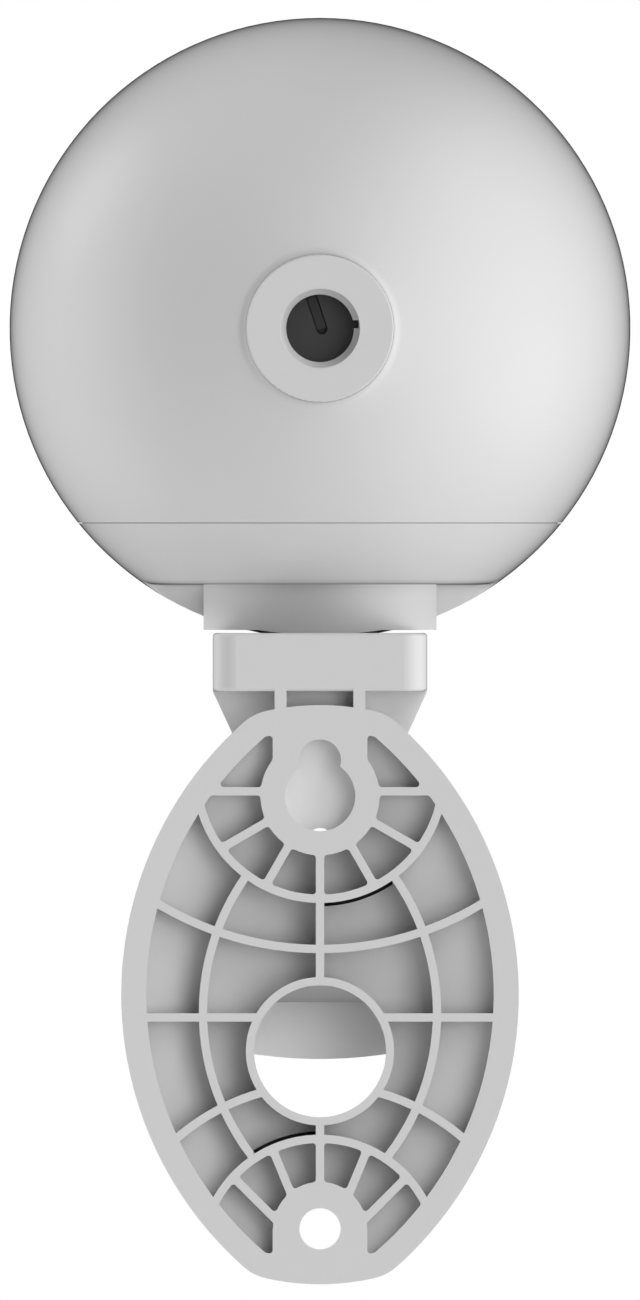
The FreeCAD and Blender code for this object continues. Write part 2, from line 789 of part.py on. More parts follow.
def build_base():
    outer = common(
        "base_zone",
        ball("base_ball", "ball_radius", *CENTRE),
        box("base_below_seam", WIDE, DEEP, (ball_z("-ball_radius - 5"), SEAM_LOW)),
    )
    rebate = box("base_rebate", WIDE, (ball_y("rebate_back"), DEEP[1]), (ball_z("-ball_radius - 5"), FLAT))
    shell = rounded(
        "base_outer",
        cut("base_cut", outer, rebate),
        "flat_edge_radius",
        lambda e: abs(e.CenterOfMass.z - number(FLAT)) < 0.01 and e.Length > number("foot_half_width") * 3,
    )
    foot = foot_block("foot", FOOT_LOW, SHELF)
    collar = turned(
        "foot_collar",
        [
            ("0", "-arm_gap"),
            ("collar_face_radius", "-arm_gap"),
            ("collar_radius", "0"),
            ("collar_radius", "shell_wall"),
            ("0", "shell_wall"),
        ],
        "0",
        TRIPOD_Y,
        FOOT_LOW,
    )
    collar_limit = foot_block("collar_limit", f"{FOOT_LOW} - arm_gap - 1", SHELF)
    tongue_outer = "(seam_radius - tongue_cover)"
    tongue = tube(
        "tongue",
        tongue_outer,
        f"{tongue_outer} - tongue_wall",
        "2 * tongue_height",
        "0",
        ball_y(),
        f"{SEAM_HIGH} - tongue_height",
    )
    under = box(
        "base_solid_floor",
        WIDE,
        (ball_y("rebate_back - shell_wall"), DEEP[1]),
        (ball_z("-ball_radius - 5"), SHELF),
    )
    hollow = cut("base_hollow", ball("base_inner", "ball_radius - shell_wall", *CENTRE), under)
    seat_y = ball_y("-speaker_forward")
    speaker_low = f"{SHELF} - 0.2 - speaker_thickness"
    inside = ball("seat_limit", "ball_radius - shell_wall / 2", *CENTRE)
    seat = tube(
        "seat", "speaker_radius + 0.3", "speaker_radius - 1.2", "6", "0", seat_y, f"{speaker_low} - 6"
    )
    post = rod("front_post", "front_post_radius", "6", "0", ball_y(DECK_SCREWS[2][1]), f"{SHELF} - 6")
    added = common("base_added", fuse("base_adding", seat, post), inside)
    sound = []
    for ring, count in enumerate((1, 6, 12)):
        for i in range(count):
            turn = math.tau * i / count
            x = f"sound_spread * {ring * math.cos(turn):.4f}"
            y = f"{seat_y} + sound_spread * {ring * math.sin(turn):.4f}"
            sound.append(rod(f"sound{ring}_{i}", "sound_radius", "8", x, y, f"{speaker_low} - 8"))
    screws = [
        rod(
            f"deck_screw_hole{i}",
            "screw_radius",
            "deck_screw_depth",
            x,
            ball_y(y),
            f"{SHELF} - deck_screw_depth",
        )
        for i, (x, y) in enumerate(DECK_SCREWS)
    ]
    nest = rod(
        "insert_hole", "insert_radius", "insert_length + arm_gap", "0", TRIPOD_Y, f"{FOOT_LOW} - arm_gap"
    )
    outside = fuse("base_outside", shell, foot, common("collar", collar, collar_limit))
    solids = fuse("base_all", cut("base_open", outside, hollow), added, tongue)
    keep("base_shell", cut("base_shell", solids, *sound, *screws, nest))


def build_pan_bearing():
    deck = turned(
        "deck",
        [
            ("0", "0"),
            ("deck_radius", "0"),
            ("deck_radius", "deck_thickness"),
            ("post_radius", "deck_thickness"),
            ("post_radius", f"{FLOOR_TOP} - {SHELF} + fit_gap"),
            ("screw_radius", f"{FLOOR_TOP} - {SHELF} + fit_gap"),
            ("screw_radius", "deck_thickness"),
            ("0", "deck_thickness"),
        ],
        "0",
        ball_y(),
        SHELF,
    )
    holes = []
    for i, (x, y) in enumerate(DECK_SCREWS):
        holes.append(
            rod(
                f"deck_hole{i}",
                "screw_radius + fit_gap",
                "deck_thickness + 1",
                x,
                ball_y(y),
                f"{SHELF} - 0.5",
            ),
        )
        holes.append(
            rod(
                f"deck_sink{i}",
                "screw_radius * 2 + fit_gap",
                "deck_sink",
                x,
                ball_y(y),
                f"{DECK_TOP} - deck_sink",
            ),
        )
    keep("base_deck", cut("base_deck", deck, *holes))
    ring = gear("ring_blank", "ring_teeth", "gear_module", "gear_face", "0", ball_y(), DECK_TOP)
    bore = rod("ring_bore", "post_radius", "gear_face + 1", "0", ball_y(), f"{DECK_TOP} - 0.5")
    keep("pan_ring_gear", cut("pan_ring_gear", ring, bore))
    low = f"({DECK_TOP} + gear_face)"
    keep(
        "pan_thrust_washer",
        tube(
            "pan_thrust_washer",
            "washer_radius",
            "post_radius",
            f"{SEAM_HIGH} - {low} - face_gap",
            "0",
            ball_y(),
            low,
        ),
    )
    top = f"{FLOOR_TOP} + fit_gap"
    keep(
        "pan_retainer",
        tube("pan_retainer", "retainer_radius", "screw_radius", "retainer_thickness", "0", ball_y(), top),
    )
    keep(
        "retainer_screw",
        screw("retainer_screw", "retainer_screw_length", "0", ball_y(), f"{top} + retainer_thickness"),
    )
    deck_screws = [
        screw(f"deck_screw{i}", "deck_screw_length", x, ball_y(y), f"{DECK_TOP} - deck_sink")
        for i, (x, y) in enumerate(DECK_SCREWS)
    ]
    keep("deck_screws", fuse("deck_screws", *deck_screws))


def screw(name, length, x, y, z, turn="up", radius="screw_radius"):
    """Small pan-head screw whose head sits on the given point and whose shank runs below it."""
    points = [
        ("0", f"-{length}"),
        (f"{radius} * 0.6", f"-{length}"),
        (radius, f"{radius} - {length}"),
        (radius, "0"),
        (f"{radius} * 2", "0"),
        (f"{radius} * 1.9", f"{radius} * 0.7"),
        (f"{radius} * 1.3", f"{radius} * 1.1"),
        ("0", f"{radius} * 1.1"),
    ]
    return turned(name, points, x, y, z, turn)


def build_mounting_screw():
    pad_top = ball_z("flat_height - ball_radius - foot_drop")
    keep(
        "threaded_insert",
        tube("threaded_insert", "insert_radius", "tripod_radius", "insert_length", "0", TRIPOD_Y, pad_top),
    )
    seat = ball_z("flat_height - ball_radius - foot_drop - arm_gap - arm_thickness + screw_head_length + 0.3")
    reach = f"({pad_top} - {seat} + insert_length - 1)"
    body = turned(
        "tripod_body",
        [
            ("0", "-screw_head_length"),
            ("screw_head_radius - 0.6", "-screw_head_length"),
            ("screw_head_radius", "0.6 - screw_head_length"),
            ("screw_head_radius", "0"),
            ("tripod_radius", "0"),
            ("tripod_radius", f"{reach} - 0.8"),
            ("tripod_radius - 0.8", reach),
            ("0", reach),
        ],
        "0",
        TRIPOD_Y,
        seat,
    )
    slot = box(
        "coin_slot",
        ("-0.7", "0.7"),
        (f"{TRIPOD_Y} - 10", f"{TRIPOD_Y} + 10"),
        (f"{seat} - screw_head_length - 1", f"{seat} - screw_head_length + 1.2"),
    )
    keep("mounting_screw", cut("mounting_screw", body, slot))


def build_speaker():
    low = f"{SHELF} - 0.2 - speaker_thickness"
    cup = rod("speaker_cup", "speaker_radius", "speaker_thickness", "0", ball_y("-speaker_forward"), low)
    mouth = rod("speaker_mouth", "speaker_radius - 1", "0.8", "0", ball_y("-speaker_forward"), low)
    cone = rod("speaker_cone", "2.2", "1", "0", ball_y("-speaker_forward"), low)
    keep("speaker", fuse("speaker", cut("speaker_ring", cup, mouth), cone))


build_base()
build_pan_bearing()
build_mounting_screw()
build_speaker()

# ---------------------------------------------------------------- head of the ball

EYE = ("0", ball_y("-eye_forward"), ball_z())
PAN_MOTOR_Y = ball_y("gear_module * (ring_teeth + pinion_teeth) / 2")
TILT_MOTOR_Y = ball_y("-eye_forward + tilt_centres")
LEAN = FreeCAD.Rotation(FreeCAD.Vector(1, 0, 0), number("button_lean"))
BOSSES = (
    ("boss_side_rear", "boss_back"),
    ("-boss_side_rear", "boss_back"),
    ("boss_side_front", "-boss_ahead"),
    ("-boss_side_front", "-boss_ahead"),
)


def chassis_bosses(name, places):
    """Screw bosses standing on the chassis floor, each tied to the shell by a rib."""
    inside = ball(f"{name}_boss_limit", "ball_radius - shell_wall / 2", *CENTRE)
    bosses = []
    for i, (x, y) in enumerate(places):
        tag = f"{name}_boss{i}"
        post = rod(f"{tag}_post", "boss_radius", "boss_length", x, ball_y(y), FLOOR_TOP)
        rib = doc.addObject("Part::Box", f"{tag}_rib")
        rib.setExpression("Length", dims("ball_radius / 2"))
        rib.setExpression("Width", dims("boss_radius"))
        rib.setExpression("Height", dims("boss_length"))
        turn = FreeCAD.Rotation(FreeCAD.Vector(0, 0, 1), math.degrees(math.atan2(number(y), number(x))))
        aside = turn.multVec(FreeCAD.Vector(0, 1, 0))
        corner = [f"{x} - boss_radius / 2 * {aside.x:.6f}", ball_y(f"{y} - boss_radius / 2 * {aside.y:.6f}")]
        put(rib, *corner, FLOOR_TOP, turn)
        bore = rod(f"{tag}_bore", "screw_radius", "boss_length - 1", x, ball_y(y), FLOOR_TOP)
        bosses.append(cut(tag, common(f"{tag}_solid", fuse(f"{tag}_both", post, rib), inside), bore))
    return bosses


def build_head_shells():
    above = (SEAM_HIGH, ball_z("ball_radius + 5"))
    groove = tube(
        "tongue_groove",
        "seam_radius - tongue_cover + fit_gap",
        "seam_radius - tongue_cover - tongue_wall - fit_gap",
        "1 + tongue_height + seam_gap",
        "0",
        ball_y(),
        f"{SEAM_HIGH} - 1",
    )
    skin = cut(
        "head_skin",
        ball("head_ball", "ball_radius", *CENTRE),
        ball("head_inner", "ball_radius - shell_wall", *CENTRE),
    )
    rear = common("rear_zone", skin, box("rear_half", WIDE, (ball_y(), DEEP[1]), above))
    front = common("front_zone", skin, box("front_half", WIDE, (DEEP[0], ball_y()), above))
    port = rod("port_boss", "port_radius", "9", "0", ball_y("ball_radius + port_proud - 9"), ball_z(), "back")
    bore = rod("port_bore", "port_bore", "20", "0", ball_y("ball_radius - 15"), ball_z(), "back")
    raised = rounded(
        "port_raised",
        fuse("rear_solids", rear, port, *chassis_bosses("rear", BOSSES[:2])),
        "port_fillet",
        lambda e: abs(e.BoundBox.XLength / 2 - number("port_radius")) < 0.01
        and number(ball_y("ball_radius - shell_wall")) < e.BoundBox.Center.y < number(ball_y("ball_radius")),
    )
    soft = rounded(
        "port_softened",
        raised,
        "port_edge_radius",
        lambda e: abs(e.BoundBox.XLength / 2 - number("port_radius")) < 0.01
        and abs(e.BoundBox.Center.y - number(ball_y("ball_radius + port_proud"))) < 0.01,
    )
    keep("head_rear_shell", cut("head_rear_shell", soft, bore, groove))
    opening = rod(
        "eye_opening", "opening_radius", "ball_radius", "0", ball_y("-eye_forward"), ball_z(), "front"
    )
    button = rod("button_hole", "button_radius + 0.15", "ball_radius + 5", *CENTRE, LEAN)
    light = rod(
        "light_hole", "light_radius", "ball_radius", "0", ball_y("-10"), ball_z("-light_drop"), "front"
    )
    mic = rod(
        "mic_hole",
        "microphone_hole_radius",
        "ball_radius",
        "microphone_side",
        ball_y("-10"),
        ball_z("-light_drop"),
        "front",
    )
    wall = "ball_radius - shell_wall"
    posts = []
    for side in (-1, 1):
        aside = f"{side} * button_post_side"
        post = rod(
            f"board_post{side + 1}", "button_post_radius", f"{wall} + 0.5", aside, CENTRE[1], CENTRE[2], LEAN
        )
        low = f"{wall} - button_board_depth + button_board_thickness"
        below = rod(
            f"below_board{side + 1}", "2 * button_post_radius", low, aside, CENTRE[1], CENTRE[2], LEAN
        )
        posts.append(cut(f"board_hanger{side + 1}", post, below))
    solids = fuse("front_solids", front, *posts, *chassis_bosses("front", BOSSES[2:]))
    keep("head_front_shell", cut("head_front_shell", solids, opening, button, light, mic, groove))


BOARD_RESTS = (-10, 10)
BOARD_SCREW_Z = ball_z("2 - board_low")


def build_chassis():
    floor = rod("floor_disc", "floor_radius", "floor_thickness", "0", ball_y(), SEAM_HIGH)
    root = "seam_height - ball_radius + seam_gap / 2 + floor_thickness - 0.5"
    head = "trunnion_radius + 3.5"
    tilt_back = "-eye_forward + tilt_centres + tilt_motor_radius + 0.5"
    left = [
        ("-8", root),
        ("9", root),
        (tilt_back, "-6"),
        (tilt_back, head),
        ("-eye_forward - 4.5", head),
        ("-eye_forward - 4.5", "-5"),
    ]
    right = [
        ("-8", root),
        ("0", root),
        ("-eye_forward + 4.5", "-3"),
        ("-eye_forward + 4.5", head),
        ("-eye_forward - 4.5", head),
        ("-eye_forward - 4.5", "-5"),
    ]
    middle = "cheek_inner + cheek_thickness / 2"
    left_cheek = prism("left_cheek", "YZ_Plane", left, "cheek_thickness", f"-({middle})", ball_y(), ball_z())
    right_cheek = prism("right_cheek", "YZ_Plane", right, "cheek_thickness", middle, ball_y(), ball_z())
    span = "2 * (cheek_inner + cheek_thickness) + 2"
    axle = rod(
        "trunnion_bore", "trunnion_radius + running_gap", span, f"-({span}) / 2", EYE[1], EYE[2], "right"
    )
    pan_bore = rod(
        "pan_bore", "post_radius + running_gap", "floor_thickness + 2", "0", ball_y(), f"{SEAM_HIGH} - 1"
    )
    shaft = rod(
        "pan_shaft_hole", "shaft_radius + 0.6", "floor_thickness + 2", "0", PAN_MOTOR_Y, f"{SEAM_HIGH} - 1"
    )
    tilt = rod(
        "tilt_shaft_hole",
        "shaft_radius + 0.6",
        "cheek_thickness + 2",
        "1 - cheek_inner",
        TILT_MOTOR_Y,
        ball_z(),
        "left",
    )
    board_low = ball_z("-board_low")
    rests = [
        box(
            f"board_rest{i}",
            (f"{x} - 2", f"{x} + 2"),
            (ball_y("board_back - 2.5"), ball_y("board_back")),
            (f"{FLOOR_TOP} - 0.5", f"{board_low} + 4"),
        )
        for i, x in enumerate(BOARD_RESTS)
    ]
    holes = [
        rod(
            f"floor_screw_hole{i}",
            "screw_radius + fit_gap",
            "floor_thickness + 2",
            x,
            ball_y(y),
            f"{SEAM_HIGH} - 1",
        )
        for i, (x, y) in enumerate(BOSSES)
    ]
    holes += [
        rod(
            f"rest_screw_hole{i}",
            "screw_radius",
            "3",
            str(x),
            ball_y("board_back - 2.5"),
            BOARD_SCREW_Z,
            "back",
        )
        for i, x in enumerate(BOARD_RESTS)
    ]
    body = fuse("chassis_solids", floor, left_cheek, right_cheek, *rests)
    keep("chassis", cut("chassis", body, axle, pan_bore, shaft, tilt, *holes))
    screws = [
        screw(f"chassis_screw{i}", "chassis_screw_length", x, ball_y(y), SEAM_HIGH, "down")
        for i, (x, y) in enumerate(BOSSES)
    ]
    keep("chassis_screws", fuse("chassis_screws", *screws))


def motor(name, radius, length, x, y, z, turn):
    """Round geared motor: a can with a stepped nose and a bore for its shaft."""
    return turned(
        name,
        [
            ("shaft_radius + face_gap", "0"),
            (f"{radius} - 0.8", "0"),
            (radius, "0.8"),
            (radius, f"{length} - 1.2"),
            (f"{radius} - 1.2", length),
            ("0", length),
            ("0", "4"),
            ("shaft_radius + face_gap", "4"),
        ],
        x,
        y,
        z,
        turn,
    )


def build_drives():
    keep("pan_motor", motor("pan_motor", "motor_radius", "motor_length", "0", PAN_MOTOR_Y, FLOOR_TOP, "up"))
    low = f"{DECK_TOP} + 0.25"
    face = "gear_face - 0.4"
    pinion = gear("pan_pinion_teeth", "pinion_teeth", "gear_module", face, "0", PAN_MOTOR_Y, low)
    shaft = rod("pan_shaft", "shaft_radius", f"{FLOOR_TOP} + 3 - ({low})", "0", PAN_MOTOR_Y, low)
    keep("pan_pinion", fuse("pan_pinion", pinion, shaft))
    keep(
        "tilt_motor",
        motor(
            "tilt_motor",
            "tilt_motor_radius",
            "tilt_motor_length",
            "-cheek_inner",
            TILT_MOTOR_Y,
            ball_z(),
            "right",
        ),
    )
    outside = "-cheek_inner - cheek_thickness - 0.5"
    pinion = gear(
        "tilt_pinion_teeth_body",
        "tilt_pinion_teeth",
        "tilt_module",
        "gear_face",
        outside,
        TILT_MOTOR_Y,
        ball_z(),
        "left",
    )
    reach = "gear_face + 0.5 + cheek_thickness + 3"
    shaft = rod("tilt_shaft", "shaft_radius", reach, "3 - cheek_inner", TILT_MOTOR_Y, ball_z(), "left")
    keep("tilt_pinion", fuse("tilt_pinion", pinion, shaft))


def build_bezel():
    front = "(sqrt(pow(ball_radius; 2) - pow(opening_radius; 2)) - bezel_sink)"
    behind = [
        f"(eye_forward + sqrt(pow(eye_radius; 2) - pow({radius}; 2)) + bezel_clearance)"
        for radius in ("opening_radius + 0.4", "opening_radius - bezel_lip")
    ]
    points = [
        ("opening_radius - fit_gap", front),
        ("opening_radius - fit_gap", f"{front} - shell_wall - 0.2"),
        ("opening_radius + bezel_flange", f"{front} - shell_wall - 1.2"),
        ("opening_radius + bezel_flange", f"{behind[0]} + 0.4"),
        ("opening_radius + 0.4", behind[0]),
        ("opening_radius - bezel_lip", behind[1]),
        ("opening_radius - bezel_lip + 0.2", f"{front} - 0.4"),
        ("opening_radius - bezel_lip + 0.5", front),
    ]
    keep("eye_bezel", turned("eye_bezel", points, *CENTRE, "front"))


def build_port():
    face = "ball_radius + port_proud"
    floor = f"({face} - jack_floor)"
    root = f"({floor} - jack_length)"
    sleeve = turned(
        "sleeve",
        [
            ("jack_radius + jack_shoulder", "0"),
            ("port_bore", "0"),
            ("port_bore", "jack_length + jack_bore_length + jack_mouth"),
            ("port_bore - fit_gap", "jack_length + jack_bore_length + jack_mouth"),
            ("jack_radius", "jack_length + jack_bore_length"),
            ("jack_radius", "jack_length"),
            ("jack_radius + jack_shoulder", "jack_length"),
        ],
        "0",
        ball_y(root),
        ball_z(),
        "back",
    )
    notch = box(
        "sleeve_notch",
        ("-port_bore + 0.15", "-jack_radius + 0.5"),
        (ball_y(f"{floor} - 1"), ball_y(face)),
        (ball_z("0.02"), ball_z("0.96")),
    )
    keep("inlet_sleeve", cut("inlet_sleeve", sleeve, notch))
    back = "(board_back + board_thickness)"
    half = ("-jack_half", "jack_half")
    block = box("jack_block", half, (ball_y(back), ball_y(root)), (ball_z("-jack_half"), ball_z("jack_half")))
    nose_radius = "jack_radius + jack_shoulder"
    nose = rod("jack_nose", nose_radius, "jack_length + 0.5", "0", ball_y(f"{root} - 0.5"), ball_z(), "back")
    swing = FreeCAD.Rotation(FreeCAD.Vector(0, 1, 0), 18.4)
    foot = ("-groove_side", ball_y(floor), ball_z("-groove_drop"), swing)
    groove = fuse(
        "jack_groove",
        rod("groove_run", "groove_radius", "jack_radius + 2", *foot),
        ball("groove_end", "groove_radius", *foot[:3]),
    )
    keep("power_jack", cut("power_jack", fuse("jack_solids", block, nose), groove))
    contact = rod("contact_rod", "groove_radius - face_gap", "jack_radius - groove_drop", *foot)
    sunk = (ball_y(f"{floor} - groove_radius"), ball_y(f"{floor} - groove_radius / 2"))
    depth = box("contact_depth", half, sunk, (ball_z("-jack_half"), ball_z("jack_half")))
    keep("jack_contact", common("jack_contact", contact, depth))


def build_boards():
    back = ball_y("board_back")
    face = ball_y("board_back + board_thickness")
    wide = ("-board_half_width", "board_half_width")
    blank = box("main_board_blank", wide, (back, face), (ball_z("-board_low"), ball_z("board_half_width")))
    board = rounded("main_board_round", blank, "board_corner_radius", lambda e: along(e, "y"))
    holes = [
        rod(
            f"board_hole{i}",
            "screw_radius + fit_gap",
            "board_thickness + 2",
            str(x),
            ball_y("board_back - 1"),
            BOARD_SCREW_Z,
            "back",
        )
        for i, x in enumerate(BOARD_RESTS)
    ]
    keep("main_board", cut("main_board", board, *holes))
    screws = [
        screw(f"board_screw{i}", "board_screw_length", str(x), face, BOARD_SCREW_Z, "back")
        for i, x in enumerate(BOARD_RESTS)
    ]
    keep("board_screws", fuse("board_screws", *screws))
    shield = box(
        "shield_blank",
        ("shield_side", "shield_side + shield_width"),
        (face, f"{face} + shield_thickness"),
        (ball_z("-shield_drop"), ball_z("shield_height - shield_drop")),
    )
    keep("processor_shield", rounded("processor_shield", shield, "shell_wall / 4", lambda e: along(e, "y")))
    radio = box(
        "radio_blank",
        ("-radio_side - radio_width", "-radio_side"),
        (f"{back} - radio_thickness", back),
        (ball_z("radio_rise"), ball_z("radio_rise + radio_height")),
    )
    keep("radio_module", radio)
    reach = "pow(light_drop + microphone_radius; 2) - pow(microphone_side + microphone_radius; 2)"
    front = f"-sqrt(pow(ball_radius - shell_wall; 2) - {reach})"
    mic = rod(
        "microphone_can",
        "microphone_radius",
        "2.4",
        "microphone_side",
        ball_y(front),
        ball_z("-light_drop"),
        "back",
    )
    keep("microphone", mic)
    tip = "sqrt(pow(ball_radius; 2) - pow(light_drop; 2))"
    pipe = turned(
        "pipe",
        [
            ("0", "0"),
            ("light_radius + 0.6", "0"),
            ("light_radius + 0.6", "1"),
            ("light_radius", "1"),
            ("light_radius", "4.1"),
            ("light_radius * 0.7", "4.4"),
            ("0", "4.5"),
        ],
        "0",
        ball_y(f"-{tip} + 4.6"),
        ball_z("-light_drop"),
        "front",
    )
    keep("status_light", pipe)


def build_button():
    wall = "(ball_radius - shell_wall)"
    body = turned(
        "button_body",
        [
            ("0", f"{wall} - 2.6"),
            ("1.2", f"{wall} - 2.6"),
            ("1.2", f"{wall} - 1.3"),
            ("button_radius + 0.9", f"{wall} - 1.3"),
            ("button_radius + 0.9", f"{wall} - 0.65"),
            ("button_radius", f"{wall} - 0.65"),
            ("button_radius", "ball_radius + 1"),
            ("0", "ball_radius + 1"),
        ],
        *CENTRE,
        LEAN,
    )
    keep("pairing_button", common("pairing_button", body, ball("button_skin", "ball_radius", *CENTRE)))
    board = doc.addObject("Part::Box", "button_board_blank")
    board.setExpression("Length", dims("button_board_length"))
    board.setExpression("Width", dims("button_board_width"))
    board.setExpression("Height", dims("button_board_thickness"))
    low = "ball_radius - shell_wall - button_board_depth"
    up = LEAN.multVec(FreeCAD.Vector(0, 0, 1))
    back = LEAN.multVec(FreeCAD.Vector(0, 1, 0))
    corner_y, corner_z = (
        f"({low}) * {rise:.6f} - button_board_width / 2 * {side:.6f}"
        for rise, side in ((up.y, back.y), (up.z, back.z))
    )
    put(board, "-button_board_length / 2", ball_y(corner_y), ball_z(corner_z), LEAN)
    switch = rod("button_switch_dome", "1.6", "1.2 + 0.15", *CENTRE, LEAN)
    top = f"({low} + button_board_thickness)"
    put(switch, "0", ball_y(f"{top} * {up.y:.6f}"), ball_z(f"{top} * {up.z:.6f}"), LEAN)
    keep("button_board", board)
    keep("button_switch", switch)


build_head_shells()
build_chassis()
build_drives()
build_bezel()
build_port()
build_boards()
build_button()

# ---------------------------------------------------------------- eye


def eye_y(text):
    """Depth of a place given as a distance in front of the eye's centre."""
    return ball_y(f"-eye_forward - ({text})")


SENSOR_SCREWS = [(f"{x} * sensor_post_offset", f"{z} * sensor_post_offset") for x in (-1, 1) for z in (-1, 1)]


def build_eye():
    skin = cut(
        "eye_skin", ball("eye_ball", "eye_radius", *EYE), ball("eye_inner", "eye_radius - eye_wall", *EYE)
    )
    pins = rod(
        "pin_holes",
        "trunnion_radius + running_gap / 2",
        "2 * eye_radius + 2",
        "-eye_radius - 1",
        EYE[1],
        EYE[2],
        "right",
    )
    face = box(
        "face_cut",
        WIDE,
        (eye_y("eye_radius + 5"), eye_y("face_forward")),
        (ball_z("-ball_radius"), ball_z("ball_radius")),
    )
    seat_ring = rod(
        "face_disc",
        "window_radius + 1.2",
        "window_thickness + face_ring",
        "0",
        eye_y("face_forward"),
        ball_z(),
        "back",
    )
    recess = rod(
        "window_recess",
        "window_radius + fit_gap",
        "window_thickness",
        "0",
        eye_y("face_forward"),
        ball_z(),
        "back",
    )
    mouth = rod("face_mouth", "window_radius - 1.8", "8", "0", eye_y("face_forward"), ball_z(), "back")
    ring_back = "face_forward - window_thickness - face_ring"
    board_front = "face_forward + barrel_proud - barrel_length"
    posts = [
        tube(
            f"sensor_post{i}",
            "sensor_post_radius",
            "screw_radius * 0.7",
            f"{ring_back} + 1 - ({board_front})",
            x,
            eye_y(board_front),
            ball_z(z),
            "front",
        )
        for i, (x, z) in enumerate(SENSOR_SCREWS)
    ]
    halves = {}
    for name, reach in (
        ("front", (eye_y("eye_radius + 1"), EYE[1])), ("rear", (EYE[1], eye_y("-eye_radius - 1")))
    ):
        halves[name] = box(f"eye_{name}_half", WIDE, reach, (ball_z("-ball_radius"), ball_z("ball_radius")))
    capped = fuse(
        "eye_capped",
        cut("eye_faced", skin, face),
        common("face_ring", seat_ring, ball("face_limit", "eye_radius", *EYE)),
    )
    front = common("eye_front", capped, halves["front"])
    hollow = cut("eye_front_open", front, pins, recess, mouth)
    keep("eye_front_shell", fuse("eye_front_shell", hollow, *posts))
    wires = rod("wire_hole", "5", "eye_wall + 4", "0", eye_y("-eye_radius + eye_wall + 2"), ball_z(), "back")
    keep("eye_rear_shell", cut("eye_rear_shell", common("eye_rear", skin, halves["rear"]), pins, wires))
    short = rod(
        "right_pin",
        "trunnion_radius",
        "eye_wall + cheek_thickness + 2",
        "eye_radius - eye_wall - 1",
        EYE[1],
        EYE[2],
        "right",
    )
    long = rod(
        "left_pin",
        "trunnion_radius",
        "eye_wall + cheek_thickness + gear_face + 2.5",
        "eye_wall + 1 - eye_radius",
        EYE[1],
        EYE[2],
        "left",
    )
    keep("trunnion_pins", fuse("trunnion_pins", short, long))
    outside = "-cheek_inner - cheek_thickness - 0.5"
    wheel = gear("sector_wheel", "sector_teeth", "tilt_module", "gear_face", outside, EYE[1], EYE[2], "left")
    tip = "tilt_module * (sector_teeth / 2 + 2)"
    wedge = prism(
        "sector_wedge",
        "YZ_Plane",
        [("-4.5", "-3"), ("0", "-4.5"), (tip, f"-{tip}"), (tip, tip), ("0", "4.5"), ("-4.5", "3")],
        "4 * (cheek_inner + cheek_thickness + gear_face)",
        "0",
        EYE[1],
        EYE[2],
    )
    bore = rod("sector_bore", "trunnion_radius", "gear_face + 2", f"{outside} + 1", EYE[1], EYE[2], "left")
    keep("tilt_sector", cut("tilt_sector", common("sector_teeth_kept", wheel, wedge), bore))


def build_optics():
    window = rod(
        "window_disc", "window_radius", "window_thickness", "0", eye_y("face_forward"), ball_z(), "back"
    )
    through = rod(
        "window_hole",
        "barrel_radius + fit_gap",
        "window_thickness + 2",
        "0",
        eye_y("face_forward + 1"),
        ball_z(),
        "back",
    )
    keep("face_window", cut("face_window", window, through))
    front = "face_forward + barrel_proud"
    barrel = turned(
        "barrel",
        [
            ("0", "0"),
            ("6.2", "0"),
            ("6.2", "4.5"),
            ("barrel_radius", "5.2"),
            ("barrel_radius", "barrel_length - 0.4"),
            ("barrel_radius - 0.4", "barrel_length"),
            ("glass_radius + 0.5", "barrel_length"),
            ("glass_radius", "barrel_length - 1.4"),
            ("glass_radius", "barrel_length - 3"),
            ("0", "barrel_length - 3"),
        ],
        "0",
        eye_y(f"{front} - barrel_length"),
        ball_z(),
        "front",
    )
    keep("lens_barrel", barrel)
    glass = rod("glass_blank", "glass_radius", "3", "0", eye_y(f"{front} - 3"), ball_z(), "front")
    curve = "glass_radius * 1.6"
    crown = ball("glass_crown", curve, "0", eye_y(f"{front} - 0.7 - {curve}"), ball_z())
    keep("lens_glass", common("lens_glass", glass, crown))
    sensor_back = f"{front} - barrel_length"
    board = box(
        "sensor_blank",
        ("-sensor_post_offset - 2", "sensor_post_offset + 2"),
        (eye_y(sensor_back), eye_y(f"{sensor_back} - 1.2")),
        (ball_z("-sensor_post_offset - 2"), ball_z("sensor_post_offset + 2")),
    )
    holes = [
        rod(
            f"sensor_hole{i}",
            "screw_radius * 0.7 + fit_gap",
            "3",
            x,
            eye_y(f"{sensor_back} + 1"),
            ball_z(z),
            "back",
        )
        for i, (x, z) in enumerate(SENSOR_SCREWS)
    ]
    keep("sensor_board", cut("sensor_board", board, *holes))
    screws = [
        screw(
            f"sensor_screw{i}",
            "sensor_screw_length",
            x,
            eye_y(f"{sensor_back} - 1.2"),
            ball_z(z),
            "back",
            "screw_radius * 0.7",
        )
        for i, (x, z) in enumerate(SENSOR_SCREWS)
    ]
    keep("sensor_screws", fuse("sensor_screws", *screws))
    led_board_front = "face_forward - window_thickness - face_ring"
    keep(
        "infrared_board",
        tube(
            "infrared_board",
            "window_radius - 0.8",
            "barrel_radius + fit_gap",
            "1",
            "0",
            eye_y(led_board_front),
            ball_z(),
            "back",
        ),
    )
    leds = []
    for i in range(int(number("led_count"))):
        turn = f"({i} + 0.5) * 360 deg / led_count"
        place = (
            f"led_ring_radius * cos({turn})", eye_y(led_board_front), ball_z(f"led_ring_radius * sin({turn})")
        )
        leds.append(rod(f"led{i}", "led_radius", "led_length", *place, "front"))
    keep("infrared_leds", fuse("infrared_leds", *leds))
    cell = box(
        "light_cell",
        ("-0.9", "0.9"),
        (eye_y(f"{led_board_front} + led_length / 2"), eye_y(led_board_front)),
        (ball_z("led_ring_radius - 0.9"), ball_z("led_ring_radius + 0.9")),
    )
    keep("light_sensor", cell)


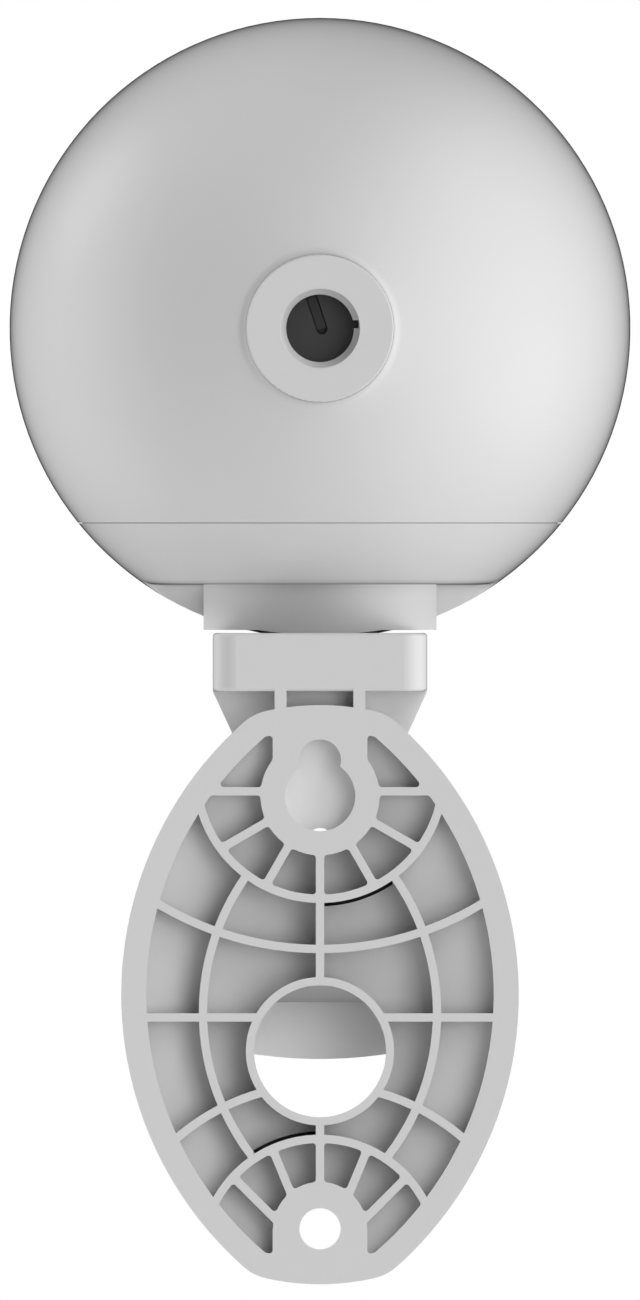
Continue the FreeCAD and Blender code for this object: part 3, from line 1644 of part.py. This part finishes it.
build_eye()
build_optics()

# ---------------------------------------------------------------- writing the sub-parts


doc.recompute()
for thing in doc.Objects:
    state = set(thing.State)
    if state & {"Invalid", "Error"}:
        raise RuntimeError(f"{thing.Label} did not build: {thing.State}")
os.makedirs("parts", exist_ok=True)
for node in NODES:
    if node.Shape.isNull() or not node.Shape.isValid():
        raise RuntimeError(f"{node.Label} is not a sound solid")
    node.Shape.exportStep(f"parts/{node.Label}.step")
    print(f"{node.Label}: {len(node.Shape.Solids)} solid, {node.Shape.Volume:.1f} mm3")
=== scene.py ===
import json
import math

import bmesh
import bpy
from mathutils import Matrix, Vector


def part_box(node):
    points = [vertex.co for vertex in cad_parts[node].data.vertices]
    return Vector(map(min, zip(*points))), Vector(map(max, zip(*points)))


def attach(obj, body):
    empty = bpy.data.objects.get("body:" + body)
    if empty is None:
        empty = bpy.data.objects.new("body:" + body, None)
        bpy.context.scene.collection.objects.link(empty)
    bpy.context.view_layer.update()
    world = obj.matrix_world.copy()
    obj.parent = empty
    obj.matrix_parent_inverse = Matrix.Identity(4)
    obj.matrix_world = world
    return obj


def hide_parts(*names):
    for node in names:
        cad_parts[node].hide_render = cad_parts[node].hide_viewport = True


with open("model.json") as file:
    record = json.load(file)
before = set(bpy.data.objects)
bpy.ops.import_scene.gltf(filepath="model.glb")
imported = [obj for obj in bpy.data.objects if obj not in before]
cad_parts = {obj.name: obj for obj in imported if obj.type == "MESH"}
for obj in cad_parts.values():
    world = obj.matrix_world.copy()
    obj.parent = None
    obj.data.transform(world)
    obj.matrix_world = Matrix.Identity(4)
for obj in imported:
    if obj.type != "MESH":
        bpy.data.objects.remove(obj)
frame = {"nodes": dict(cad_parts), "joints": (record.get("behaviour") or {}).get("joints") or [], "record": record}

MM = 0.001
NODES = frame["nodes"]
JOINTS = {joint["name"]: joint for joint in frame["joints"]}
BALL = Vector(JOINTS["head_pan"]["pos_m"])
EYE = Vector(JOINTS["eye_tilt"]["pos_m"])
JACK_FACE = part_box("power_jack")[1][1]
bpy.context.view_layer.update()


# ---------------------------------------------------------------- shader building

# sockets that have no name of their own, by their number
COORDINATE_NORMAL = 1
COORDINATE_OBJECT = 3
MIX_FACTOR = 0
MIX_FIRST = 6
MIX_SECOND = 7
MIX_COLOUR = 2


class Value:
    """One shader value. Arithmetic on it adds Math nodes to its finish."""

    def __init__(self, finish, socket):
        self.finish = finish
        self.socket = socket

    def math(self, operation, *values):
        return self.finish.node("ShaderNodeMath", {"operation": operation}, dict(enumerate(values)))

    def __add__(self, other):
        return self.math("ADD", self, other)

    def __sub__(self, other):
        return self.math("SUBTRACT", self, other)

    def __rsub__(self, other):
        return self.math("SUBTRACT", other, self)

    def __mul__(self, other):
        return self.math("MULTIPLY", self, other)

    def __truediv__(self, other):
        return self.math("DIVIDE", self, other)

    def __pow__(self, other):
        return self.math("POWER", self, other)


class Finish:
    """A material under construction: one Principled shader and the nodes that feed it."""

    def __init__(self, name, **uniform):
        self.material = bpy.data.materials.new(name)
        self.material.use_nodes = True
        self.tree = self.material.node_tree
        self.tree.nodes.clear()
        self.output = self.tree.nodes.new("ShaderNodeOutputMaterial")
        self.shader = self.tree.nodes.new("ShaderNodeBsdfPrincipled")
        self.tree.links.new(self.shader.outputs[0], self.output.inputs[0])
        for key, value in uniform.items():
            socket = key.replace("_", " ").title().replace("Ior", "IOR")
            self.shader.inputs[socket].default_value = value

    def plug(self, socket, value):
        if isinstance(value, Value):
            self.tree.links.new(value.socket, socket)
        else:
            socket.default_value = value

    def node(self, kind, settings=None, sockets=None, output=0):
        made = self.tree.nodes.new(kind)
        for key, value in (settings or {}).items():
            setattr(made, key, value)
        for key, value in (sockets or {}).items():
            self.plug(made.inputs[key], value)
        return Value(self, made.outputs[output])

    def place(self):
        """Position on the piece, in metres, fixed to the piece."""
        return self.node("ShaderNodeTexCoord", output=COORDINATE_OBJECT)

    def axes(self, place=None):
        made = self.tree.nodes.new("ShaderNodeSeparateXYZ")
        self.plug(made.inputs[0], place or self.place())
        return [Value(self, socket) for socket in made.outputs]

    def noise(self, size_mm, detail=3.0, roughness=0.5, stretch=(1, 1, 1)):
        """Noise between 0 and 1 whose lumps are about this many millimetres across."""
        scale = tuple(part / (size_mm * MM) for part in stretch)
        where = self.node("ShaderNodeMapping", {}, {"Vector": self.place(), "Scale": scale})
        return self.node(
            "ShaderNodeTexNoise",
            {},
            {"Vector": where, "Scale": 1.0, "Detail": detail, "Roughness": roughness},
        )

    def mix(self, factor, first, second):
        """Blend of two colours."""
        sockets = {MIX_FACTOR: factor, MIX_FIRST: first, MIX_SECOND: second}
        return self.node("ShaderNodeMix", {"data_type": "RGBA"}, sockets, output=MIX_COLOUR)

    def range(self, value, low, high, from_low=0.0, from_high=1.0):
        sockets = {"Value": value, "From Min": from_low, "From Max": from_high}
        return self.node("ShaderNodeMapRange", {}, {**sockets, "To Min": low, "To Max": high})

    def between(self, value, low, high):
        return value.math("GREATER_THAN", value, low) * value.math("LESS_THAN", value, high)

    def set(self, socket, value):
        self.plug(self.shader.inputs[socket], value)

    def bump(self, height, depth_mm, strength=1.0):
        sockets = {"Strength": strength, "Distance": depth_mm * MM, "Height": height}
        self.set("Normal", self.node("ShaderNodeBump", {}, sockets))


def colour(grey_or_rgb, scale=1.0):
    rgb = (grey_or_rgb,) * 3 if isinstance(grey_or_rgb, (int, float)) else grey_or_rgb
    return tuple(part * scale for part in rgb) + (1.0,)


# ---------------------------------------------------------------- finishes

SKIN = 0.86


def moulded(*details, **more):
    return moulded_finish(*details, **more)[0]


def moulded_finish(
    name, tone, rough, grain_mm, grain_depth_mm, specular=0.12, drift=0.01, skin=SKIN
):
    """Moulded plastic: a spark-eroded grain under a thin smoky skin that dims the rims."""
    finish = Finish(name, specular_ior_level=specular, coat_weight=1.0, coat_ior=1.0)
    finish.shader.inputs["Coat Tint"].default_value = colour(skin)
    drifting = finish.noise(18, detail=2)
    finish.set("Base Color", finish.mix(drifting, colour(tone, 1 - drift), colour(tone, 1 + drift)))
    speckle = finish.noise(grain_mm * 5, detail=2)
    uneven = drifting * 0.5 + speckle * 0.5
    finish.set("Roughness", finish.range(uneven, rough - 0.05, rough + 0.05))
    surface = finish.noise(grain_mm, detail=2) + finish.noise(9, detail=1) * 3
    finish.bump(surface, grain_depth_mm, 0.5)
    return finish.material, finish


# Slits beside the ring ribs, where the bracket's colour is painted near black as shade.
SLITS = (
    # height of the ring's middle, its outer radius, and the side that the slit is on
    (0.0544, 0.0153, -1),
    (-0.0034, 0.0147, 1),
)
SLIT_WIDTH = 0.0003
SLIT_MARGIN = 0.0001
SLIT_START = 0.0004
SLIT_END = 0.0087
SLIT_DEPTH = -0.0035
FACING_FRONT = -0.5
# Keyhole pocket where the smoky skin is left off, as painted light that lifts the pocket's shade.
KEY_MIDDLE = 0.0541
KEY_REACH = 0.0055
KEY_SQUEEZE = 0.5
KEY_FLOOR = -0.0042
KEY_RIM = -0.0001


def ribbed_plate(name, tone, rough, grain_mm, grain_depth_mm):
    """The bracket's plastic: the slits beside the ring ribs painted black as shade, and no skin in the keyhole, as
    painted light that makes the pocket read lighter.
    """
    material, finish = moulded_finish(name, tone, rough, grain_mm, grain_depth_mm)
    across, depth, height = finish.axes()
    facing = finish.axes(finish.node("ShaderNodeTexCoord", output=COORDINATE_NORMAL))[1]
    inside = 0.0
    for middle, radius, side in SLITS:
        rise = height - middle
        reach = (across * across + rise * rise) ** 0.5
        band = finish.between(reach, radius - SLIT_MARGIN, radius + SLIT_WIDTH + SLIT_MARGIN)
        aside = finish.between(across * side, SLIT_START, SLIT_END)
        inward = across.math("GREATER_THAN", rise * side, 0.0)
        inside = band * aside * inward + inside
    # Painted shade: slit faces past SLIT_DEPTH that do not face the front are coloured near black.
    deep = depth.math("LESS_THAN", depth, SLIT_DEPTH)
    outside = facing.math("LESS_THAN", facing, FACING_FRONT)
    inside = inside * deep * (1 - outside)
    plain = finish.shader.inputs["Base Color"].links[0].from_socket
    finish.set("Base Color", finish.mix(inside, Value(finish, plain), colour(0.004)))
    # Painted light: the skin is left off inside the keyhole pocket so that it reads lighter than its shade.
    rise = height - KEY_MIDDLE
    round_key = across * across + rise * rise * KEY_SQUEEZE
    keyhole_painted_light = round_key.math("LESS_THAN", round_key, KEY_REACH**2)
    finish.set("Coat Weight", 1 - finish.between(depth, KEY_FLOOR, KEY_RIM) * keyhole_painted_light)
    return material


def drawn_steel(name, tone, along, rough=0.32):
    """Steel with fine streaks along one axis."""
    finish = Finish(name, metallic=1.0)
    stretch = [0.06 if axis == along else 1.0 for axis in range(3)]
    streaks = finish.noise(0.12, detail=4, stretch=stretch)
    stains = finish.noise(2.5, detail=3)
    finish.set("Base Color", finish.mix(stains, colour(tone, 0.86), colour(tone, 1.05)))
    finish.set("Roughness", finish.range(streaks, rough - 0.1, rough + 0.12))
    finish.bump(streaks, 0.01, 0.35)
    return finish.material


def turned_metal(name, tone, centre, axis, pitch_mm=0.12, rough=0.3, metallic=1.0):
    """Metal or plastic cut on a lathe: fine rings round one axis."""
    finish = Finish(name, metallic=metallic)
    parts = finish.axes()
    across = [parts[i] - centre[i] for i in range(3) if i != axis]
    radius = (across[0] * across[0] + across[1] * across[1]) ** 0.5
    rings = radius.math("SINE", (radius + parts[axis]) * (math.tau / (pitch_mm * MM)))
    wander = finish.noise(0.6, detail=3)
    finish.set("Base Color", finish.mix(wander, colour(tone, 0.88), colour(tone, 1.08)))
    finish.set("Roughness", finish.range(wander, rough - 0.08, rough + 0.1))
    finish.bump(rings * 0.5 + wander, 0.004, 0.5)
    return finish.material


def zinc_screw(name):
    """Bright zinc plate with a faint bluish bloom and fine handling marks."""
    finish = Finish(name, metallic=1.0)
    bloom = finish.noise(1.4, detail=4)
    cool, warm = colour((0.62, 0.63, 0.66)), colour((0.78, 0.77, 0.74))
    finish.set("Base Color", finish.mix(bloom, cool, warm))
    marks = finish.noise(0.2, detail=5, roughness=0.7)
    finish.set("Roughness", finish.range(marks, 0.2, 0.42))
    finish.bump(marks, 0.006, 0.4)
    return finish.material


TRACK_PITCH_MM = 0.8
TRACK_SHARE = 0.62
PAD_PITCH_MM = 1.7
PAD_SIZE = 0.16
PAD_SCATTER = 0.35


def circuit_board(name, mask, copper):
    """Solder mask over a grid of tracks, with pale pads and a faint uneven bump."""
    finish = Finish(name, specular_ior_level=0.5)
    parts = finish.axes()
    track = TRACK_PITCH_MM * MM
    ways = (parts[0] + parts[1], parts[2] + parts[1])
    lines = [way.math("PINGPONG", way, track) / track for way in ways]
    region = finish.noise(4.5, detail=0)
    chosen = region.math("GREATER_THAN", region, 0.5)
    along = chosen * lines[0] + (1 - chosen) * lines[1]
    tracks = along.math("GREATER_THAN", along, TRACK_SHARE)
    cells = finish.node(
        "ShaderNodeTexVoronoi",
        {},
        {"Vector": finish.place(), "Scale": 1 / (PAD_PITCH_MM * MM), "Randomness": PAD_SCATTER},
    )
    pads = cells.math("LESS_THAN", cells, PAD_SIZE)
    ground = finish.mix(tracks, colour(mask), colour(mask, 1.7))
    finish.set("Base Color", finish.mix(pads, ground, colour(copper)))
    finish.set("Metallic", pads * 0.9)
    finish.set("Roughness", finish.range(finish.noise(0.7), 0.28, 0.42))
    finish.bump(tracks + pads * 0.6 + finish.noise(0.35) * 0.4, 0.03, 0.6)
    return finish.material


def black_window(name):
    """Polished infrared window: deep black with a trace of violet and a few hairline marks."""
    finish = Finish(name, specular_ior_level=0.3)
    haze = finish.noise(6, detail=2)
    deep, hazy = colour((0.008, 0.007, 0.011)), colour((0.014, 0.012, 0.018))
    finish.set("Base Color", finish.mix(haze, deep, hazy))
    hairlines = finish.noise(0.5, detail=6, roughness=0.8, stretch=(1, 1, 0.1))
    finish.set("Roughness", finish.range(hairlines, 0.05, 0.14, 0.55, 0.75))
    finish.bump(finish.noise(7, detail=1), 0.02, 0.15)
    return finish.material


def coated_glass(name):
    """Lens glass with a violet and green anti-reflection coating that shifts with the angle."""
    finish = Finish(name, ior=1.5, roughness=0.03, specular_ior_level=0.35)
    facing = finish.node("ShaderNodeLayerWeight", {}, {"Blend": 0.4}, output=1)
    radial = finish.noise(5, detail=1)
    deep = finish.mix(facing, colour((0.012, 0.008, 0.03)), colour((0.03, 0.07, 0.05)))
    finish.set("Base Color", finish.mix(radial * 0.4, deep, colour((0.06, 0.02, 0.09))))
    finish.bump(finish.noise(3, detail=0), 0.002, 0.2)
    return finish.material


def clear_glass(name):
    """Clear front element, with a faint violet reflection from its coating."""
    finish = Finish(name, ior=1.5, transmission_weight=1.0)
    finish.shader.inputs["Specular Tint"].default_value = colour((0.62, 0.52, 0.95))
    cast = finish.noise(4, detail=1)
    cool, clear = colour((0.93, 0.94, 0.97)), colour((0.97, 0.97, 0.98))
    finish.set("Base Color", finish.mix(cast, cool, clear))
    finish.set("Roughness", finish.range(finish.noise(1.2, detail=3), 0.0, 0.03))
    finish.bump(finish.noise(3, detail=0), 0.001, 0.1)
    return finish.material


def clear_resin(name, tone, rough=0.12):
    """Cast resin: a lens or a light pipe, with faint swirls inside."""
    finish = Finish(name, ior=1.5, transmission_weight=0.55, specular_ior_level=0.5)
    swirl = finish.noise(0.8, detail=3)
    finish.set("Base Color", finish.mix(swirl, colour(tone, 0.94), colour(tone, 1.02)))
    finish.set("Roughness", finish.range(swirl, rough - 0.05, rough + 0.08))
    finish.bump(finish.noise(0.4), 0.01, 0.25)
    return finish.material


def soft_black(name, tone, rough):
    """Matte black moulding with a slightly uneven bloom."""
    finish = Finish(name, specular_ior_level=0.3)
    bloom = finish.noise(1.6, detail=4)
    finish.set("Base Color", finish.mix(bloom, colour(tone, 0.8), colour(tone, 1.25)))
    finish.set("Roughness", finish.range(bloom, rough - 0.06, rough + 0.1))
    finish.bump(finish.noise(0.14, detail=2), 0.012, 0.4)
    return finish.material


# Depths below the jack's face over which the groove's painted shade deepens.
GROOVE_TOP = 0.0001
GROOVE_FLOOR = 0.0004


def jack_plastic(name, tone, face):
    """Matte black moulding with painted shade: darker where the lead's groove sinks below its face."""
    finish = Finish(name, specular_ior_level=0.3)
    bloom = finish.noise(1.6, detail=4)
    # Painted shade: the colour darkens with depth into the groove.
    sunk = finish.range(finish.axes()[1], 0.0, 1.0, face - GROOVE_TOP, face - GROOVE_FLOOR)
    plain = finish.mix(bloom, colour(tone, 0.9), colour(tone, 1.1))
    finish.set("Base Color", finish.mix(sunk, plain, colour(tone, 0.45)))
    finish.set("Roughness", finish.range(bloom, 0.54, 0.68))
    finish.bump(finish.noise(0.14, detail=2), 0.012, 0.4)
    return finish.material


def nylon(name, tone):
    """Unfilled gear nylon: waxy, a little light passes into it."""
    finish = Finish(name, subsurface_weight=0.15, subsurface_scale=0.0008, specular_ior_level=0.4)
    cloud = finish.noise(2.2, detail=3)
    finish.set("Base Color", finish.mix(cloud, colour(tone, 0.93), colour(tone, 1.03)))
    finish.set("Roughness", finish.range(cloud, 0.38, 0.52))
    finish.bump(finish.noise(0.25), 0.01, 0.3)
    return finish.material


WHITE = (0.85, 0.85, 0.85)
BLACK_OXIDE = (0.02, 0.02, 0.022)
# Dull dark plate for the jack's contact, made near black and not metallic as painted shade of the groove floor.
DULL_PLATE_PAINTED_SHADE = (0.012, 0.012, 0.012)
GOLD_PAD = (0.70, 0.52, 0.22)
GREEN_MASK = (0.012, 0.075, 0.03)
BLACK_MASK = (0.010, 0.010, 0.012)
FINISHES = {
    "bracket_white": lambda: ribbed_plate("bracket_white_satin", WHITE, 0.5, 0.16, 0.010),
    "shell_white": lambda: moulded("shell_white_satin", WHITE, 0.42, 0.20, 0.006),
    "eye_white": lambda: moulded("eye_white_satin", WHITE, 0.38, 0.20, 0.005),
    "button_white": lambda: moulded("button_white_satin", colour(0.78)[:3], 0.36, 0.20, 0.005),
    "bezel_grey": lambda: moulded("bezel_fine_grey", (0.30, 0.31, 0.33), 0.4, 0.15, 0.010),
    "inner_grey": lambda: moulded("frame_dark_grey", (0.10, 0.105, 0.115), 0.5, 0.18, 0.012),
    "gear_nylon": lambda: nylon("gear_natural_nylon", (0.78, 0.76, 0.68)),
    "washer_acetal": lambda: soft_black("washer_black_acetal", (0.025, 0.025, 0.026), 0.3),
    "screw_steel": lambda: zinc_screw("screw_bright_zinc"),
    "brass": lambda: turned_metal("insert_turned_brass", (0.72, 0.50, 0.20), BALL, 2, 0.3),
    "black_plastic": lambda: soft_black("speaker_matte_black", (0.03, 0.03, 0.032), 0.55),
    "motor_can": lambda: drawn_steel("motor_drawn_steel", (0.62, 0.62, 0.63), 2),
    "port_lining": lambda: moulded("port_lining_white", WHITE, 0.5, 0.15, 0.010, skin=0.94),
    "jack_black": lambda: jack_plastic("jack_matte_black", (0.036, 0.036, 0.037), JACK_FACE),
    # The jack's contact: dull plate, darkened as painted shade so that it reads as the groove's shaded floor.
    "contact_metal": lambda: turned_metal("contact_dull_plate_painted_shade", DULL_PLATE_PAINTED_SHADE, BALL, 1, 0.2, 0.7, 0.0),
    "board_green": lambda: circuit_board("board_green_mask", GREEN_MASK, GOLD_PAD),
    "board_black": lambda: circuit_board("board_black_mask", BLACK_MASK, GOLD_PAD),
    "shield_tin": lambda: drawn_steel("shield_tinned_sheet", (0.70, 0.70, 0.69), 0, 0.38),
    "switch_black": lambda: soft_black("switch_black", (0.03, 0.03, 0.03), 0.45),
    "light_pipe": lambda: clear_resin("status_light_frosted", (0.90, 0.94, 0.97), 0.25),
    "window_black": lambda: black_window("window_polished_black"),
    "barrel_black": lambda: turned_metal(
        "barrel_black_anodised", BLACK_OXIDE, EYE, 1, 0.18, 0.34, 0.4
    ),
    "lens_glass": lambda: clear_glass("lens_clear_glass"),
    "led_clear": lambda: clear_resin("diode_clear_resin", (0.85, 0.86, 0.90)),
}


def dress_nodes():
    """Give every CAD node the finish of its slot."""
    made = {}
    for part in frame["record"]["subparts"]:
        slot = part["material_slot"]
        if slot not in made:
            made[slot] = FINISHES[slot]()
        mesh = NODES[part["node"]].data
        mesh.materials.clear()
        mesh.materials.append(made[slot])
    return made


# ---------------------------------------------------------------- lens

# lengths in millimetres; depths count backwards from the barrel's front
SECOND_GLASS = "lens_coated_glass"
LENS_STEPS = 96
GLASS_EDGE = 3.96
GLASS_BACK = 2.66
FRONT_CURVE = 6.4
FRONT_APEX = 0.7
REAR_CURVE = 5.0
REAR_APEX = 1.5
REAR_EDGE = 3.2
SECOND_CURVE = 2.0
SECOND_APEX = 2.0
SECOND_EDGE = 1.5
SECOND_BACK = 2.95
TREADS = ((1.55, 2.35), (2.0, 2.35), (2.0, 2.52), (2.6, 2.52), (2.6, 2.72), (3.9, 2.72))
TREADS_BACK = 2.97
RING_INNER = 3.3
RING_OUTER = 3.95
RING_FRONT = 1.15
RING_LIP = 1.3
RING_LIP_SINK = 0.8
RING_FLAT = 3.45
RING_INNER_BACK = 1.57
RING_OUTER_BACK = 1.9
SLOT_HALF_ANGLE = math.radians(5.4)
SLOT_SINK = 0.25
SLOT_WALL_ANGLE = 0.001
MERGE_DISTANCE = 1e-8
SHARP_ANGLE = math.radians(32)


def arc(curve, apex, reach, count=12):
    """(radius, depth) places down one side of a dome, in millimetres behind the barrel's front."""
    places = []
    for i in range(count + 1):
        radius = reach * i / count
        places.append((radius, apex + curve - math.sqrt(curve * curve - radius * radius)))
    return places


def even_angles():
    return [math.tau * i / LENS_STEPS for i in range(LENS_STEPS)]


def turned_piece(name, outline, finish, angles=None):
    """Closed piece round the lens axis; outline(angle) gives its (radius, depth) corners."""
    angles = angles or even_angles()
    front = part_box("lens_barrel")[0].y
    built = bmesh.new()
    rings = []
    for angle in angles:
        ring = []
        for radius, depth in outline(angle):
            place = Vector((radius * math.cos(angle), 0, radius * math.sin(angle))) * MM
            ring.append(built.verts.new(Vector((EYE.x, front + depth * MM, EYE.z)) + place))
        rings.append(ring)
    for ring, after in zip(rings, rings[1:] + rings[:1]):
        for i in range(len(ring)):
            j = (i + 1) % len(ring)
            built.faces.new((ring[i], ring[j], after[j], after[i]))
    bmesh.ops.remove_doubles(built, verts=built.verts, dist=MERGE_DISTANCE)
    bmesh.ops.dissolve_degenerate(built, edges=built.edges, dist=MERGE_DISTANCE)
    bmesh.ops.recalc_face_normals(built, faces=built.faces)
    mesh = bpy.data.meshes.new(name)
    built.to_mesh(mesh)
    built.free()
    mesh.polygons.foreach_set("use_smooth", [True] * len(mesh.polygons))
    mesh.set_sharp_from_angle(angle=SHARP_ANGLE)
    mesh.materials.append(finish)
    piece = bpy.data.objects.new(name, mesh)
    bpy.context.scene.collection.objects.link(piece)
    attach(piece, "eye")
    return piece


def front_lens(angle):
    outer = arc(FRONT_CURVE, FRONT_APEX, GLASS_EDGE)
    inner = arc(REAR_CURVE, REAR_APEX, REAR_EDGE)
    return [*outer, (GLASS_EDGE, GLASS_BACK), *reversed(inner)]


def second_lens(angle):
    dome = arc(SECOND_CURVE, SECOND_APEX, SECOND_EDGE)
    return [*dome, (SECOND_EDGE, SECOND_BACK), (0, SECOND_BACK)]


def step_ring(angle):
    return [*TREADS, (TREADS[-1][0], TREADS_BACK), (TREADS[0][0], TREADS_BACK)]


def retaining_ring(angle):
    """Ring over the glass's edge, sunk at two slots that a spanner turns it by."""
    from_slot = abs(math.remainder(angle, math.pi))
    sink = SLOT_SINK if from_slot < SLOT_HALF_ANGLE else 0.0
    return [
        (RING_INNER, RING_LIP + sink * RING_LIP_SINK),
        (RING_INNER, RING_INNER_BACK),
        (RING_OUTER, RING_OUTER_BACK),
        (RING_OUTER, RING_FRONT + sink),
        (RING_FLAT, RING_FRONT + sink),
    ]


def slotted_angles():
    """Even steps, with a pair of close ones at each side of each slot."""
    angles = even_angles()
    for middle in (0, math.pi, math.tau):
        for edge in (middle - SLOT_HALF_ANGLE, middle + SLOT_HALF_ANGLE):
            angles += [edge - SLOT_WALL_ANGLE, edge + SLOT_WALL_ANGLE]
    return sorted(angle for angle in angles if 0 <= angle < math.tau)


def build_lens(made):
    """Two glasses and two rings in the barrel; the front glass stands in for the plain one."""
    black = made["barrel_black"]
    glass = turned_piece("front_lens", front_lens, made["lens_glass"])
    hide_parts("lens_glass")
    turned_piece("second_lens", second_lens, coated_glass(SECOND_GLASS))
    turned_piece("lens_step_ring", step_ring, black)
    turned_piece("lens_retaining_ring", retaining_ring, black, slotted_angles())


# ---------------------------------------------------------------- studio

GROUND_HEIGHT = -0.070
GROUND_SIZE = 6
GROUND_TONE = 0.8
GROUND_GLOW = 0.62
CAMERA_PLACE = (0, 0.8, 0.069456)
CAMERA_TURN = (math.radians(90), 0, math.radians(180))
CAMERA_SPAN = 0.156
CAMERA_REACH = 5.0
LAMP_WIDTH = math.radians(30)
LAMPS = (
    # name, towards the lamp, strength
    ("lamp_right_low", (-0.96, 0.01, -0.27), 1.39),
    ("lamp_facing", (-0.40, 0.91, -0.04), 0.70),
    ("lamp_facing_high", (-0.34, 0.87, 0.35), 0.36),
    ("lamp_facing_top", (-0.47, 0.59, 0.65), 0.40),
    ("lamp_top", (-0.65, 0.14, 0.75), 0.96),
    ("lamp_left_high", (0.79, -0.39, 0.47), 2.04),
    ("lamp_left", (0.94, -0.33, -0.03), 0.47),
    ("lamp_left_low", (0.80, -0.26, -0.55), 0.86),
)
AMBIENT = 0.093


def build_lamps():
    for name, towards, strength in LAMPS:
        lamp = bpy.data.lights.new(name, "SUN")
        lamp.energy = strength
        lamp.angle = LAMP_WIDTH
        holder = bpy.data.objects.new(name, lamp)
        holder.rotation_euler = Vector(towards).to_track_quat("Z", "Y").to_euler()
        bpy.context.scene.collection.objects.link(holder)


def build_world():
    """White to the eye and in reflections, and a low even light on the object."""
    world = bpy.data.worlds.new("studio")
    bpy.context.scene.world = world
    world.use_nodes = True
    tree = world.node_tree
    tree.nodes.clear()
    output = tree.nodes.new("ShaderNodeOutputWorld")
    mixer = tree.nodes.new("ShaderNodeMixShader")
    dim = tree.nodes.new("ShaderNodeBackground")
    white = tree.nodes.new("ShaderNodeBackground")
    dim.inputs["Strength"].default_value = AMBIENT
    dim.inputs["Color"].default_value = colour(1.0)
    white.inputs["Color"].default_value = colour(1.0)
    white.inputs["Strength"].default_value = 1.0
    tree.links.new(seen_directly(tree), mixer.inputs[0])
    tree.links.new(dim.outputs[0], mixer.inputs[1])
    tree.links.new(white.outputs[0], mixer.inputs[2])
    tree.links.new(mixer.outputs[0], output.inputs[0])


def seen_directly(tree):
    """1 for rays that reach the eye straight, in a reflection or through glass."""
    path = tree.nodes.new("ShaderNodeLightPath")
    total = path.outputs["Is Camera Ray"]
    for name in ("Is Glossy Ray", "Is Transmission Ray"):
        adder = tree.nodes.new("ShaderNodeMath")
        adder.operation = "ADD"
        adder.use_clamp = True
        tree.links.new(total, adder.inputs[0])
        tree.links.new(path.outputs[name], adder.inputs[1])
        total = adder.outputs[0]
    return total


def build_ground():
    """Pale floor that glows to the eye, and lets the low lamps through to the object."""
    bpy.ops.mesh.primitive_plane_add(size=GROUND_SIZE, location=(0, 0, GROUND_HEIGHT))
    ground = bpy.context.object
    ground.name = "ground"
    material = bpy.data.materials.new("ground_pale")
    material.use_nodes = True
    tree = material.node_tree
    tree.nodes.clear()
    output = tree.nodes.new("ShaderNodeOutputMaterial")
    diffuse = tree.nodes.new("ShaderNodeBsdfDiffuse")
    diffuse.inputs["Color"].default_value = colour(GROUND_TONE)
    glow = tree.nodes.new("ShaderNodeEmission")
    glow.inputs["Color"].default_value = colour(GROUND_GLOW)
    both = tree.nodes.new("ShaderNodeAddShader")
    mixer = tree.nodes.new("ShaderNodeMixShader")
    tree.links.new(diffuse.outputs[0], both.inputs[0])
    tree.links.new(glow.outputs[0], both.inputs[1])
    tree.links.new(seen_directly(tree), mixer.inputs[0])
    tree.links.new(diffuse.outputs[0], mixer.inputs[1])
    tree.links.new(both.outputs[0], mixer.inputs[2])
    tree.links.new(mixer.outputs[0], output.inputs[0])
    ground.data.materials.append(material)
    ground.visible_shadow = False


def build_camera():
    """Straight view of the back, with the object filling the picture."""
    camera = bpy.data.cameras.new("camera")
    camera.type = "ORTHO"
    camera.ortho_scale = CAMERA_SPAN
    camera.clip_end = CAMERA_REACH
    holder = bpy.data.objects.new("camera", camera)
    holder.location = CAMERA_PLACE
    holder.rotation_euler = CAMERA_TURN
    bpy.context.scene.collection.objects.link(holder)
    bpy.context.scene.camera = holder


build_lens(dress_nodes())
build_camera()
build_lamps()
build_world()
build_ground()
bpy.context.scene.view_settings.view_transform = "Standard"
